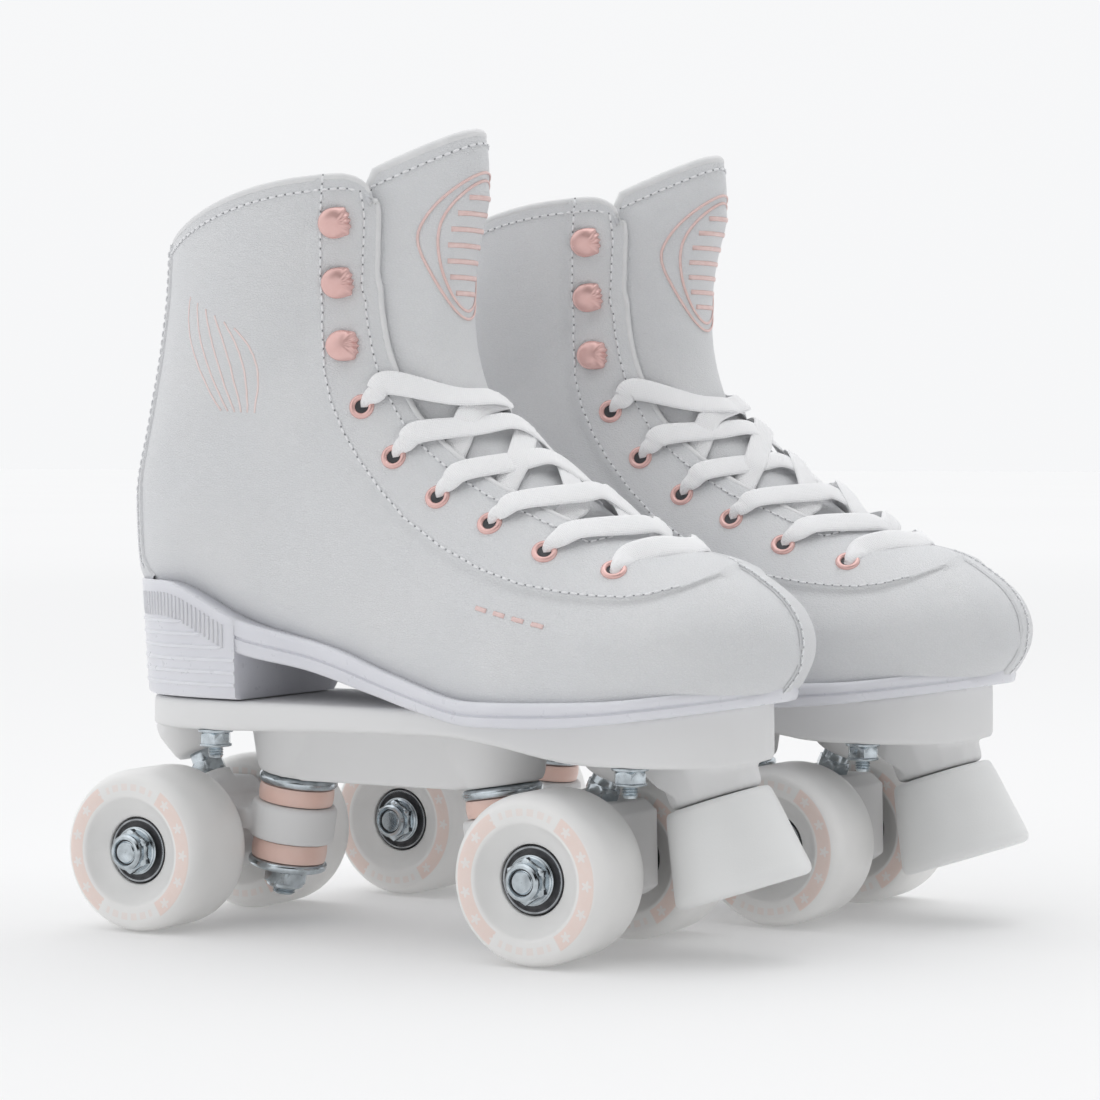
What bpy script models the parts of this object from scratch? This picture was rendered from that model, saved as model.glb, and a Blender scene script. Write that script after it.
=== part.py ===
"""A pair of quad roller skates: lace-up boots on plates with two sprung trucks each.

Written in millimetres in the frame of one skate (x towards the toe, y to the skater's left, z up,
origin on the floor under its middle), then scaled to metres and set down side by side.
The right skate is modelled and the left one is its mirror image, as in the real pair.
"""
from math import cos, pi, radians, sin, sqrt, tan

import bpy
from mathutils import Vector

MM = 0.001
# pair
SKATE_SPACING = 117.8      # between the two skates' middles, across
LEFT_AHEAD = 30.5          # how far the left skate stands ahead of the right one
LEFT_TURN = radians(-2.0)  # the left skate's toe is turned in a little
PAIR_SHIFT_X = -37.915      # bring the middle of the pair's box over the origin
PAIR_SHIFT_Y = -1.379
# wheels and axles
WHEELBASE = 152.0
TRACK = 65.2               # between the middles of the two wheels on an axle
WHEEL_FACETS = 18
AXLE_Z = 27.4              # half the wheel's diameter, measured to a flat
WHEEL_R = AXLE_Z / cos(pi / WHEEL_FACETS)
WHEEL_HALF_WIDTH = 16.0
BEARING_R = 11.0           # 608 size: 22 mm outside, 8 mm bore, 7 mm wide
BEARING_WIDTH = 7.0
BEARING_INSET = 5.0        # from the wheel's face to the bearing's face
AXLE_R = 3.9
AXLE_HALF_LENGTH = 49.4
LOCK_NUT_AF = 13.0
# trucks
KINGPIN_X = 42.6           # where the kingpin's axis passes KINGPIN_Z
KINGPIN_Z = 35.0
KINGPIN_LEAN = radians(9.0)
KINGPIN_R = 4.0
KINGPIN_NUT_AF = 14.0
CUSHION_R = 12.8
CUP_R = 13.4
RING_R = 14.6
RING_BORE = 6.4
PIVOT = (82.2, 62.0)       # centre of the pivot pin's ball in the plate (x, z)
PIVOT_LEAN = radians(24.0)
PIVOT_PIN_R = 4.9
# plate
DECK_TOP = 78.2
BEAM_HALF_WIDTH = 15.0
# toe stop
STOP_TOP = (119.0, 50.9)
STOP_LEAN = radians(18.8)
STOP_HEIGHT = 30.6
STOP_R_TOP = 17.2
STOP_R_BOTTOM = 22.9
# boot
SKIN = 3.0                 # thickness of the upper
TONGUE_THICKNESS = 4.0
GAP = 0.3                  # left between pieces that touch

MATERIALS = {
    "white_synthetic_leather": ((0.86, 0.87, 0.88), 0.45, 0.0),
    "translucent_sole_rubber": ((0.80, 0.80, 0.83), 0.4, 0.0),
    "white_nylon": ((0.84, 0.85, 0.86), 0.5, 0.0),
    "white_polyurethane": ((0.88, 0.87, 0.85), 0.4, 0.0),
    "pink_polyurethane": ((0.86, 0.47, 0.38), 0.4, 0.0),
    "zinc_steel": ((0.62, 0.64, 0.66), 0.25, 1.0),
    "bearing_steel": ((0.20, 0.20, 0.21), 0.35, 0.9),
    "stop_rubber": ((0.82, 0.83, 0.82), 0.45, 0.0),
    "white_lace": ((0.92, 0.92, 0.93), 0.8, 0.0),
    "insole_foam": ((0.75, 0.76, 0.78), 0.8, 0.0),
}


def material(name):
    found = bpy.data.materials.get(name)
    if found:
        return found
    made = bpy.data.materials.new(name)
    made.use_nodes = True
    colour, rough, metal = MATERIALS[name]
    shader = made.node_tree.nodes["Principled BSDF"]
    shader.inputs["Base Color"].default_value = (*colour, 1.0)
    shader.inputs["Roughness"].default_value = rough
    shader.inputs["Metallic"].default_value = metal
    made.diffuse_color = (*colour, 1.0)
    return made


def mesh_object(name, verts, faces, mat=None):
    """An object from points in millimetres."""
    mesh = bpy.data.meshes.new(name)
    mesh.from_pydata([tuple(c * MM for c in v) for v in verts], [], faces)
    mesh.validate()
    mesh.update()
    obj = bpy.data.objects.new(name, mesh)
    bpy.context.scene.collection.objects.link(obj)
    if mat:
        mesh.materials.append(material(mat))
    return obj


def interp(table, x):
    """Straight-line reading of a table of (x, value...)."""
    if x <= table[0][0]:
        return table[0][1:]
    for low, high in zip(table, table[1:]):
        if x <= high[0]:
            t = (x - low[0]) / (high[0] - low[0])
            return tuple(a + (b - a) * t for a, b in zip(low[1:], high[1:]))
    return table[-1][1:]


def loft(name, rings, mat, closed_ends=True):
    """Rings of equal length joined by quads; the ends are closed with one face each."""
    n = len(rings[0])
    verts = [p for ring in rings for p in ring]
    faces = []
    for j in range(len(rings) - 1):
        for i in range(n):
            k = (i + 1) % n
            faces.append((j * n + i, j * n + k, (j + 1) * n + k, (j + 1) * n + i))
    if closed_ends:
        faces.append(tuple(reversed(range(n))))
        last = (len(rings) - 1) * n
        faces.append(tuple(last + i for i in range(n)))
    obj = mesh_object(name, verts, faces, mat)
    face_outwards(obj)
    return obj


def face_outwards(obj):
    mesh = obj.data
    volume = 0.0
    for poly in mesh.polygons:
        points = [mesh.vertices[i].co for i in poly.vertices]
        for a, b in zip(points[1:], points[2:]):
            volume += points[0].dot(a.cross(b))
    if volume < 0:
        mesh.flip_normals()
    mesh.update()


def basis(direction):
    """Two unit vectors square to a direction."""
    d = Vector(direction).normalized()
    side = Vector((0, 1, 0)) if abs(d.y) < 0.9 else Vector((0, 0, 1))
    u = (side - d * side.dot(d)).normalized()
    return d, u, d.cross(u)


def turned(name, origin, direction, profile, mat, segments=12, phase=0.5):
    """A body turned about an axis. profile is a closed loop of (radius, distance along the axis); a
    radius of 0 at both ends makes it solid."""
    d, u, v = basis(direction)
    o = Vector(origin)
    rings = []
    for r, s in profile:
        ring = []
        for k in range(segments):
            a = 2 * pi * (k + phase) / segments
            ring.append(o + d * s + (u * cos(a) + v * sin(a)) * r)
        rings.append(ring)
    solid = profile[0][0] <= 0
    if solid:
        return loft(name, rings[1:-1], mat)
    n = segments
    verts = [p for ring in rings for p in ring]
    faces = []
    m = len(rings)
    for j in range(m):
        q = (j + 1) % m
        for i in range(n):
            k = (i + 1) % n
            faces.append((j * n + i, j * n + k, q * n + k, q * n + i))
    obj = mesh_object(name, verts, faces, mat)
    face_outwards(obj)
    return obj


def fastener(name, origin, direction, steps, mat):
    """A bolt or an axle with its nuts: steps are (distance, radius or ("hex", across flats)).
    Every ring has twelve points, so that a hexagon and a round shaft join in one skin."""
    d, u, v = basis(direction)
    o = Vector(origin)
    rings = []
    for s, size in steps:
        ring = []
        for k in range(12):
            a = 2 * pi * k / 12
            if isinstance(size, tuple):
                flat = size[1] / 2
                r = flat / cos(pi / 6) if k % 2 == 0 else flat
            else:
                r = size
            ring.append(o + d * s + (u * cos(a) + v * sin(a)) * r)
        rings.append(ring)
    return loft(name, rings, mat)


def box_between(name, x0, x1, y0, y1, z0, z1, mat=None):
    rings = [[(x, y0, z0), (x, y1, z0), (x, y1, z1), (x, y0, z1)] for x in (x0, x1)]
    return loft(name, rings, mat)


def combine(base, others, operation):
    """Joins or cuts with each of the others in turn, keeps the result and removes the others."""
    for other in others:
        mod = base.modifiers.new("step", "BOOLEAN")
        mod.operation = operation
        mod.solver = "EXACT"
        mod.object = other
        bpy.context.view_layer.update()
        graph = bpy.context.evaluated_depsgraph_get()
        made = bpy.data.meshes.new_from_object(base.evaluated_get(graph))
        base.modifiers.clear()
        old = base.data
        base.data = made
        bpy.data.meshes.remove(old)
        bpy.data.objects.remove(other, do_unlink=True)
    return base


# ---------------------------------------------------------------- boot

# height of the line where the upper meets the sole, along the boot
FEATHER = [(-104, 117.0), (-75, 117.0), (-38, 104.0), (-3, 96.8), (24, 88.2), (54, 81.6), (97, 83.0),
           (131, 87.0), (150, 91.0)]

# rings of the upper from the toe to the top: bottom or back point (x, z), top or front point (x, z),
# greatest half width, where it lies from the top (0) to the bottom (1), squareness of the bottom
UPPER_RINGS = [
    ((142.5, 93.0), (142.5, 109.0), 17.0, 0.55, 2.4),
    ((137.0, 89.2), (136.0, 117.5), 28.0, 0.60, 3.0),
    ((126.5, 87.2), (124.5, 124.0), 36.0, 0.64, 3.4),
    ((110.0, 85.2), (108.0, 130.2), 42.5, 0.68, 3.8),
    ((92.0, 83.6), (90.0, 137.0), 45.5, 0.70, 4.0),
    ((72.0, 82.8), (70.0, 149.0), 45.5, 0.70, 4.0),
    ((50.0, 83.3), (50.0, 161.0), 43.0, 0.70, 4.0),
    ((27.0, 88.2), (34.0, 173.5), 39.5, 0.70, 3.8),
    ((3.0, 95.8), (23.0, 187.0), 37.0, 0.68, 3.6),
    ((-20.0, 101.4), (17.5, 200.0), 35.5, 0.66, 3.4),
    ((-44.0, 107.6), (15.0, 211.0), 34.5, 0.62, 3.0),
    ((-68.0, 116.0), (14.0, 220.0), 34.5, 0.58, 2.6),
    ((-87.0, 118.0), (13.5, 225.0), 34.5, 0.55, 2.4),
    ((-98.0, 123.5), (13.2, 229.5), 34.5, 0.52, 2.3),
    ((-101.0, 140.5), (13.0, 234.0), 35.8, 0.50, 2.0),
    ((-95.5, 166.0), (12.7, 238.5), 37.0, 0.50, 2.0),
    ((-89.5, 191.0), (12.4, 243.0), 38.5, 0.50, 2.0),
    ((-86.0, 212.0), (12.2, 247.5), 39.5, 0.50, 2.0),
    ((-84.5, 230.5), (11.0, 252.0), 40.0, 0.50, 2.0),
]
FIRST_OPEN_RING = 4        # from here up the front is open for the tongue
THROAT = {3: 10.0, 4: 13.0, 5: 16.0, 6: 17.0, 7: 18.0, 8: 19.0, 9: 20.0, 10: 20.5, 11: 21.0, 12: 21.5,
          13: 22.0, 14: 22.0, 15: 22.0, 16: 22.0, 17: 22.0, 18: 22.0}
# how far the instep's section is drawn up to a ridge, by ring: 0 is elliptical
RIDGE = [(0, 0.0), (2, 0.2), (4, 0.5), (8, 0.5), (12, 0.0)]
UPPER_COLUMNS = 9          # on each side, from the top middle to the bottom middle


def upper_ring(index, inset):
    """The points of one ring, round from the top middle down the left side and up the right side."""
    (gx, gz), (fx, fz), width, waist, square = UPPER_RINGS[index]
    g, f = Vector((gx, 0, gz)), Vector((fx, 0, fz))
    axis = (g - f).normalized()
    length = (g - f).length
    slant = 1.0 if index < 9 or index > 13 else 1.45
    f = f + axis * inset
    g = g - axis * inset * slant
    length = (g - f).length
    width -= inset
    if index == 0:
        f.x -= inset
        g.x -= inset
    half = []
    throat = min(THROAT.get(index, 8.0) / width, 0.9)
    for k in range(UPPER_COLUMNS + 1):
        if k == 0:
            u, v = 0.0, 0.0
        elif k <= 5:
            # from the throat's edge to the widest point
            start = throat
            v = start + (1 - start) * sin((k - 1) / 4 * pi / 2) ** 0.9
            ridge = interp(RIDGE, index)[0]
            u = waist * ((1 - ridge) * (1 - sqrt(max(0.0, 1 - v ** 2))) + ridge * v ** 2)
        else:
            a = (k - 5) / (UPPER_COLUMNS - 5) * pi / 2
            u = waist + (1 - waist) * sin(a) ** (2 / square)
            v = cos(a) ** (2 / square)
            if k == UPPER_COLUMNS:
                u, v = 1.0, 0.0
        half.append((u, v))
    points = []
    rim = 4.5 * (index == len(UPPER_RINGS) - 1)
    for sign, keys in ((-1, range(UPPER_COLUMNS + 1)), (1, range(UPPER_COLUMNS - 1, 0, -1))):
        for k in keys:
            u, v = half[k]
            p = f + axis * (u * length)
            points.append(Vector((p.x, sign * v * width, p.z + rim * sin(pi * min(1.0, u * 1.15)) * (u < 0.87))))
    return points


def build_upper():
    n = 2 * UPPER_COLUMNS
    rows = len(UPPER_RINGS)
    outer = [p for j in range(rows) for p in upper_ring(j, 0.0)]
    inner = [p for j in range(rows) for p in upper_ring(j, SKIN)]
    verts = outer + inner
    shift = len(outer)
    faces, used = [], {}

    def cell(a, b, c, d):
        faces.append((a, b, c, d))
        faces.append((d + shift, c + shift, b + shift, a + shift))
        for e in ((a, b), (b, c), (c, d), (d, a)):
            used[e] = True

    for j in range(rows - 1):
        for i in range(n):
            if j >= FIRST_OPEN_RING - 1 and i in (0, n - 1) and j != FIRST_OPEN_RING - 1:
                continue
            k = (i + 1) % n
            cell(j * n + i, j * n + k, (j + 1) * n + k, (j + 1) * n + i)
    faces.append(tuple(range(n - 1, -1, -1)))
    faces.append(tuple(shift + i for i in range(n)))
    for i in range(n):
        used[((i + 1) % n, i)] = True
    for a, b in list(used):
        if (b, a) not in used:
            faces.append((b, a, a + shift, b + shift))
    keep = sorted({i for face in faces for i in face})
    place = {old: new for new, old in enumerate(keep)}
    obj = mesh_object("boot_upper", [verts[i] for i in keep],
                      [tuple(place[i] for i in face) for face in faces], "white_synthetic_leather")
    face_outwards(obj)
    return obj


# how far the tongue's middle stands out past each ring's front point, along the ring
TONGUE_BULGE = {3: -3.8, 4: -3.8, 5: -1.5, 6: 3.0, 7: 7.0, 8: 14.0, 9: 26.0, 10: 30.0, 11: 28.0, 12: 26.0,
                13: 25.0, 14: 24.0, 15: 23.0, 16: 22.5, 17: 22.0, 18: 21.5}
TONGUE_RISE = 10.0                 # how far its top edge stands above the boot's
TONGUE_STEPS = (0.78, 0.42, 0.0)   # columns across the throat, as fractions of its half width


def build_tongue():
    """Runs inside the upper along the throat's edges and bulges forward between them."""
    rows = []
    n = 2 * UPPER_COLUMNS
    for index, bulge in TONGUE_BULGE.items():
        (gx, gz), (fx, fz) = UPPER_RINGS[index][:2]
        f = Vector((fx, 0, fz))
        axis = (Vector((gx, 0, gz)) - f).normalized()
        throat = THROAT[index]
        sides = []
        for inset in (SKIN + 0.6, SKIN + 0.6 + TONGUE_THICKNESS):
            ring = upper_ring(index, inset)
            under = [ring[2], ring[1]]
            edge = (ring[1] - f).dot(axis)
            middle = -bulge + inset - SKIN - 0.6
            half = []
            for t in TONGUE_STEPS:
                u = middle + (edge - middle) * t ** 2.2
                half.append(f + axis * u + Vector((0, -t * throat * (1 - 0.03 * (inset > SKIN + 1)), 0)))
            left = under + half
            if index == len(UPPER_RINGS) - 1:
                reach = abs(left[0].y)
                left = [Vector((p.x, p.y, p.z + TONGUE_RISE * (1 - 0.75 * (p.y / reach) ** 2))) for p in left]
            row = left + [Vector((p.x, -p.y, p.z)) for p in reversed(left[:-1])]
            sides.append(row)
        rows.append(sides[0] + sides[1][::-1])
    return loft("tongue", rows, "white_synthetic_leather")


def feather(x):
    return interp(FEATHER, x)[0]


# half width of the sole along the boot, its bottom edge and the edge's sag under the plate's top
SOLE = [(-95.3, 7.0, 79.0), (-93.5, 13.5, 78.9), (-89.0, 20.5, 78.8), (-81.0, 28.0, 78.7), (-70.0, 33.0, 78.6),
        (-58.0, 35.2, 78.6), (-44.0, 36.5, 78.6), (-40.0, 36.8, 93.8), (-14, 37.5, 89.6),
        (14, 40.5, 82.6), (34, 43.0, 77.6), (54, 46.0, 74.2), (76, 47.6, 74.6), (96, 46.4, 76.2),
        (114, 40.5, 78.6), (127, 31.5, 80.4), (136, 21.5, 81.8), (141.5, 10.0, 82.6)]
RECESS_Z = DECK_TOP + GAP
RECESS_HALF = 38.6


def build_outsole():
    rings = []
    for x, w, low in SOLE:
        top = feather(x) - GAP
        roof = max(low, RECESS_Z)
        lip = min(RECESS_HALF, w * 0.9)
        inner = min(RECESS_HALF - 1.0, w * 0.85)
        flare = 0.8
        rings.append([(x, -w, low), (x, -w - flare, top - 1.5), (x, -w + 1.5, top), (x, w - 1.5, top),
                      (x, w + flare, top - 1.5), (x, w, low), (x, lip, low), (x, inner, roof),
                      (x, -inner, roof), (x, -lip, low)])
    return loft("outsole", rings, "translucent_sole_rubber")


SEAT_Z = 129.5             # flat heel seat of the footbed
FOOTBED_RINGS = range(1, 13)


def build_footbed():
    """Follows the inside of the upper's bottom, and is flat under the heel."""
    first = UPPER_COLUMNS - 2
    rings = []
    for index in FOOTBED_RINGS:
        low = upper_ring(index, SKIN + GAP + 0.2)[first:first + 5]
        high = upper_ring(index, SKIN + GAP + 3.0)[first:first + 5]
        if index >= 10:
            low[0], low[4] = low[1].lerp(low[0], 0.35), low[3].lerp(low[4], 0.35)
            high[0], high[4] = high[1].lerp(high[0], 0.35), high[3].lerp(high[4], 0.35)
            high = [Vector((p.x, p.y, SEAT_Z)) for p in high]
        rings.append(low + high[::-1])
    return loft("footbed", rings, "insole_foam")


# lines that the lace crosses, one point (x, z) per eyelet row from the toe: through the eyelets, along
# the edge of the throat and along the tongue's middle; and how far each stands from the middle plane
EYELET_LINE = [(97.5, 124.0), (73.0, 129.5), (53.0, 138.0), (33.5, 147.5), (17.0, 160.5), (5.5, 176.0)]
EDGE_LINE = [(101.0, 132.0), (79.0, 140.5), (60.0, 151.5), (43.0, 162.0), (30.0, 173.0), (20.0, 186.0)]
MIDDLE_LINE = [(104.0, 134.5), (83.0, 144.0), (66.0, 155.5), (50.0, 167.5), (38.0, 178.5), (29.0, 194.0)]
EYELET_Y, EDGE_Y = 30.0, 16.5
LACE_WIDTH = 7.0
LACE_THICKNESS = 1.5


def build_laces():
    """One flat lace: up in a zigzag through the rows, across and down again over the first pass."""
    def on_line(line, row, y, lift, tilt):
        low = min(int(row), len(line) - 2)
        a, b = Vector((line[low][0], 0, line[low][1])), Vector((line[low + 1][0], 0, line[low + 1][1]))
        p = a.lerp(b, row - low)
        along = (b - a).normalized()
        up = Vector((-along.z, 0, along.x))
        up = up if up.z > 0 else -up
        normal = (up * cos(tilt) + Vector((0, 1 if y > 0 else -1, 0)) * sin(tilt)).normalized()
        return Vector((p.x, y, p.z)) + normal * lift, normal

    rows = len(EYELET_LINE)
    order = list(range(rows)) + list(reversed(range(rows)))
    stations = []
    for step, row in enumerate(order):
        first = step < rows
        side = (1 if row % 2 == 0 else -1) * (1 if first else -1)
        lift = 0.0 if first else 2.1
        stations.append((EYELET_LINE, row, side * EYELET_Y, 2.9 + lift * 0.9, 0.8))
        if step + 1 == len(order):
            break
        after = order[step + 1]
        turn = after == row
        for t, line, y, rise in ((0.25, EDGE_LINE, side * EDGE_Y, 3.2), (0.5, MIDDLE_LINE, 0.0, 3.8),
                                 (0.75, EDGE_LINE, -side * EDGE_Y, 3.2)):
            grow = 2.1 * t if turn else lift
            stations.append((line, row + (after - row) * t, y, rise + grow, 0.35 if y else 0.0))
    dense = [on_line(*station) for station in stations]
    rings = []
    for j, (p, up) in enumerate(dense):
        a = dense[max(j - 1, 0)][0]
        b = dense[min(j + 1, len(dense) - 1)][0]
        side = (b - a).normalized().cross(up).normalized()
        w, h = side * LACE_WIDTH / 2, up * LACE_THICKNESS / 2
        rings.append([p - w - h, p + w - h, p + w + h, p - w + h])
    return loft("laces", rings, "white_lace")


# ---------------------------------------------------------------- plate and toe stop

# outline of the plate: x, half width, bottom height
DECK = [(-92.0, 8.0, 67.8), (-89.5, 14.5, 67.8), (-84.0, 22.0, 67.8), (-75.0, 29.5, 67.9),
        (-62.0, 34.0, 68.0), (-45.0, 36.2, 68.3), (0.0, 36.2, 69.6), (36.0, 36.6, 70.0), (76.0, 37.0, 64.4),
        (88.0, 37.0, 63.0), (106.0, 35.5, 62.8), (119.0, 30.5, 62.8), (128.0, 22.0, 62.9),
        (132.5, 12.0, 63.0)]


def leaned(sign, lean):
    """Unit vector pointing down along an axis that leans outwards at the bottom."""
    return Vector((sign * sin(lean), 0, -cos(lean)))


def kingpin_origin(sign):
    return Vector((sign * KINGPIN_X, 0, KINGPIN_Z))


def stop_axis():
    return Vector((STOP_TOP[0], 0, STOP_TOP[1])), Vector((sin(STOP_LEAN), 0, -cos(STOP_LEAN)))


def build_plate():
    rings = []
    for x, w, low in DECK:
        rings.append([(x, -w + 1.0, low), (x, w - 1.0, low), (x, w, low + 1.0), (x, w, DECK_TOP - 1.0),
                      (x, w - 1.0, DECK_TOP), (x, -w + 1.0, DECK_TOP), (x, -w, DECK_TOP - 1.0),
                      (x, -w, low + 1.0)])
    plate = loft("plate", rings, "white_nylon")
    h = BEAM_HALF_WIDTH - 1
    parts = [loft("beam", [[(x, -h, low), (x, h, low), (x, h + 1.5, 71), (x, -h - 1.5, 71)]
                           for x, low in ((-42, 56), (-31, 50.2), (31, 50.2), (42, 56))], None)]
    for sign in (-1, 1):
        down = leaned(sign, KINGPIN_LEAN)
        parts.append(turned("boss", kingpin_origin(sign), down,
                            [(0, -40), (19.0, -40), (18.0, -30), (14.2, -16.5), (0, -16.5)], None, 16))
        # pivot boss: a tapered foot that holds the pivot pin's ball
        px, pz = PIVOT
        up = Vector((sign * sin(PIVOT_LEAN), 0, cos(PIVOT_LEAN)))
        parts.append(turned("pivot_boss", (sign * px, 0, pz), up,
                            [(0, -5.4), (9.2, -5.4), (12.5, 4.5), (12.5, 9.0), (0, 9.0)], None, 12))
    o, down = stop_axis()
    parts.append(turned("nose_boss", o, down, [(0, -16), (16.0, -16), (15.0, -GAP), (0, -GAP)], None, 16))
    combine(plate, parts, "UNION")
    # nothing of the bosses stands above the deck
    combine(plate, [box_between("level", -130, 160, -60, 60, DECK_TOP, DECK_TOP + 40)], "DIFFERENCE")
    cuts = []
    for sign in (-1, 1):
        down = leaned(sign, KINGPIN_LEAN)
        cuts.append(turned("bore", kingpin_origin(sign), down, [(0, -50), (4.4, -50), (4.4, -10), (0, -10)],
                           None, 12, 0.0))
        cuts.append(turned("pocket", kingpin_origin(sign), down,
                           [(0, -60), (8.6, -60), (8.6, -28.7), (0, -28.7)], None, 12, 0.0))
        up = Vector((sign * sin(PIVOT_LEAN), 0, cos(PIVOT_LEAN)))
        cuts.append(turned("cup", (sign * PIVOT[0], 0, PIVOT[1]), up,
                           [(0, -12), (8.0, -12), (6.6, 4.8), (0, 4.8)], None, 12))
    o, down = stop_axis()
    cuts.append(turned("stem_bore", o, down, [(0, -20), (4.5, -20), (4.5, 4), (0, 4)], None, 12, 0.0))
    return combine(plate, cuts, "DIFFERENCE")


def build_toe_stop():
    o, down = stop_axis()
    h = STOP_HEIGHT
    slope = (STOP_R_BOTTOM - STOP_R_TOP) / h
    stop = turned("toe_stop", o, down,
                  [(4.5, 0), (STOP_R_TOP - 0.8, 0), (STOP_R_TOP, 0.8), (STOP_R_BOTTOM - 2.6 * slope, h - 2.6),
                   (STOP_R_BOTTOM - 2.2, h), (STOP_R_BOTTOM - 5, h), (8.3, h), (8.3, 16.2), (4.5, 16.2)],
                  "stop_rubber", 18, 0.5)
    bolt = fastener("toe_stop_bolt", o, down,
                    [(-19.5, 3.4), (-19.0, 4.1), (16.5, 4.1), (16.5, ("hex", 13.0)), (22.5, ("hex", 13.0))],
                    "zinc_steel")
    return stop, bolt


# ---------------------------------------------------------------- trucks

def build_kingpin(sign, tag):
    down = leaned(sign, KINGPIN_LEAN)
    return fastener("kingpin_" + tag, kingpin_origin(sign), down,
                    [(-34.0, ("hex", 13.0)), (-29.0, ("hex", 13.0)), (-29.0, KINGPIN_R), (16.4, KINGPIN_R),
                     (16.4, ("hex", KINGPIN_NUT_AF)), (22.8, ("hex", KINGPIN_NUT_AF)), (22.8, KINGPIN_R),
                     (25.4, KINGPIN_R)], "zinc_steel")


def build_stack(sign, tag):
    """Cup washers and cushions, from the plate's boss down to the lock nut."""
    o, down = kingpin_origin(sign), leaned(sign, KINGPIN_LEAN)
    bore = 4.5

    def ring(name, top, bottom, radius, mat, bulge=0.0):
        profile = [(bore, top), (radius, top), (radius, bottom), (bore, bottom)]
        if bulge:
            profile = [(bore, top), (radius - bulge, top), (radius, (top + bottom) / 2),
                       (radius - bulge, bottom), (bore, bottom)]
        return turned(name + "_" + tag, o, down, profile, mat, 14, 0.0)

    return [ring("cup_washer_upper", -16.2, -13.0, CUP_R, "zinc_steel"),
            ring("cushion_upper", -12.7, -7.0, CUSHION_R, "pink_polyurethane", 0.5),
            ring("cushion_lower", 6.4, 12.8, CUSHION_R, "pink_polyurethane", 0.5),
            ring("cup_washer_lower", 13.1, 16.1, CUP_R, "zinc_steel")]


def build_hanger(sign, tag):
    """Ring round the kingpin, arm, block round the axle, and the pivot pin above it."""
    axle_x = WHEELBASE / 2
    o, down = kingpin_origin(sign), leaned(sign, KINGPIN_LEAN)
    hanger = turned("hanger_" + tag, o, down, [(0, -6.7), (RING_R, -6.7), (RING_R, 6.1), (0, 6.1)],
                    "white_nylon", 16)
    arm = loft("arm", [[(sign * x, -w, zl), (sign * x, w, zl), (sign * x, w, zh), (sign * x, -w, zh)]
                       for x, w, zl, zh in ((43.5, 12.0, 32.4, 38.6), (59.0, 13.0, 32.4, 40.5),
                                            (66.0, 14.0, 24.5, 44.5))], None)
    block = loft("block", [[(sign * x, -w, zl), (sign * x, w, zl), (sign * x, w, zh), (sign * x, -w, zh)]
                           for x, w, zl, zh in ((63.0, 14.0, 22.0, 44.0), (68.0, 15.2, 16.5, 48.6),
                                                (86.0, 15.2, 16.5, 48.6), (91.0, 14.0, 20.0, 45.0))], None)
    tube = turned("tube", (sign * axle_x, 0, AXLE_Z), (0, 1, 0),
                  [(0, -21.1), (7.4, -21.1), (9.0, -16.2), (9.0, 16.2), (7.4, 21.1), (0, 21.1)], None, 12)
    up = Vector((sign * sin(PIVOT_LEAN), 0, cos(PIVOT_LEAN)))
    pin = turned("pin", (sign * PIVOT[0], 0, PIVOT[1]), up,
                 [(0, -19), (PIVOT_PIN_R, -19), (PIVOT_PIN_R, -3.0), (4.2, 2.2), (2.6, 3.6), (0, 3.6)], None, 12)
    combine(hanger, [arm, block, tube, pin], "UNION")
    cuts = [turned("ring_bore", o, down, [(0, -20), (RING_BORE, -20), (RING_BORE, 20), (0, 20)], None, 12),
            turned("axle_bore", (sign * axle_x, 0, AXLE_Z), (0, 1, 0),
                   [(0, -40), (AXLE_R + 0.35, -40), (AXLE_R + 0.35, 40), (0, 40)], None, 12, 0.0)]
    return combine(hanger, cuts, "DIFFERENCE")


def build_axle(sign, tag):
    nut = ("hex", LOCK_NUT_AF)
    end, face = AXLE_HALF_LENGTH, TRACK / 2 + WHEEL_HALF_WIDTH - BEARING_INSET + 0.4
    steps = [(-end, AXLE_R), (-face - 5.0, AXLE_R), (-face - 5.0, nut), (-face, nut), (-face, AXLE_R)]
    steps += [(-s, size) for s, size in reversed(steps)]
    return fastener("axle_" + tag, (sign * WHEELBASE / 2, 0, AXLE_Z), (0, 1, 0), steps, "zinc_steel")


def build_wheel(sign, side, tag):
    o = (sign * WHEELBASE / 2, side * TRACK / 2, AXLE_Z)
    h, r = WHEEL_HALF_WIDTH, WHEEL_R
    seat = h - BEARING_INSET
    bore = BEARING_R + 0.35
    half = [(r, 12.2), (r - 3.0, h - 0.3), (17.8, h), (bore, seat + 0.3)]
    profile = [(a, -b) for a, b in reversed(half)] + half
    profile += [(bore, seat - BEARING_WIDTH - 0.3), (8.8, seat - BEARING_WIDTH - 0.3),
                (8.8, -seat + BEARING_WIDTH + 0.3), (bore, -seat + BEARING_WIDTH + 0.3)]
    wheel = turned("wheel_" + tag, o, (0, 1, 0), profile, "white_polyurethane", WHEEL_FACETS)
    b, w = BEARING_R, BEARING_WIDTH
    bearing = turned("bearing_set_" + tag, o, (0, 1, 0),
                     [(4.12, -seat), (b, -seat), (b, -seat + w), (6.2, -seat + w), (6.2, seat - w),
                      (b, seat - w), (b, seat), (4.12, seat)], "bearing_steel", 10, 0.0)
    return wheel, bearing


# ---------------------------------------------------------------- assembly

def empty(name, location, parent=None):
    obj = bpy.data.objects.new(name, None)
    obj.empty_display_size = 0.02
    bpy.context.scene.collection.objects.link(obj)
    obj.location = location
    obj.parent = parent
    return obj


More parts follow.
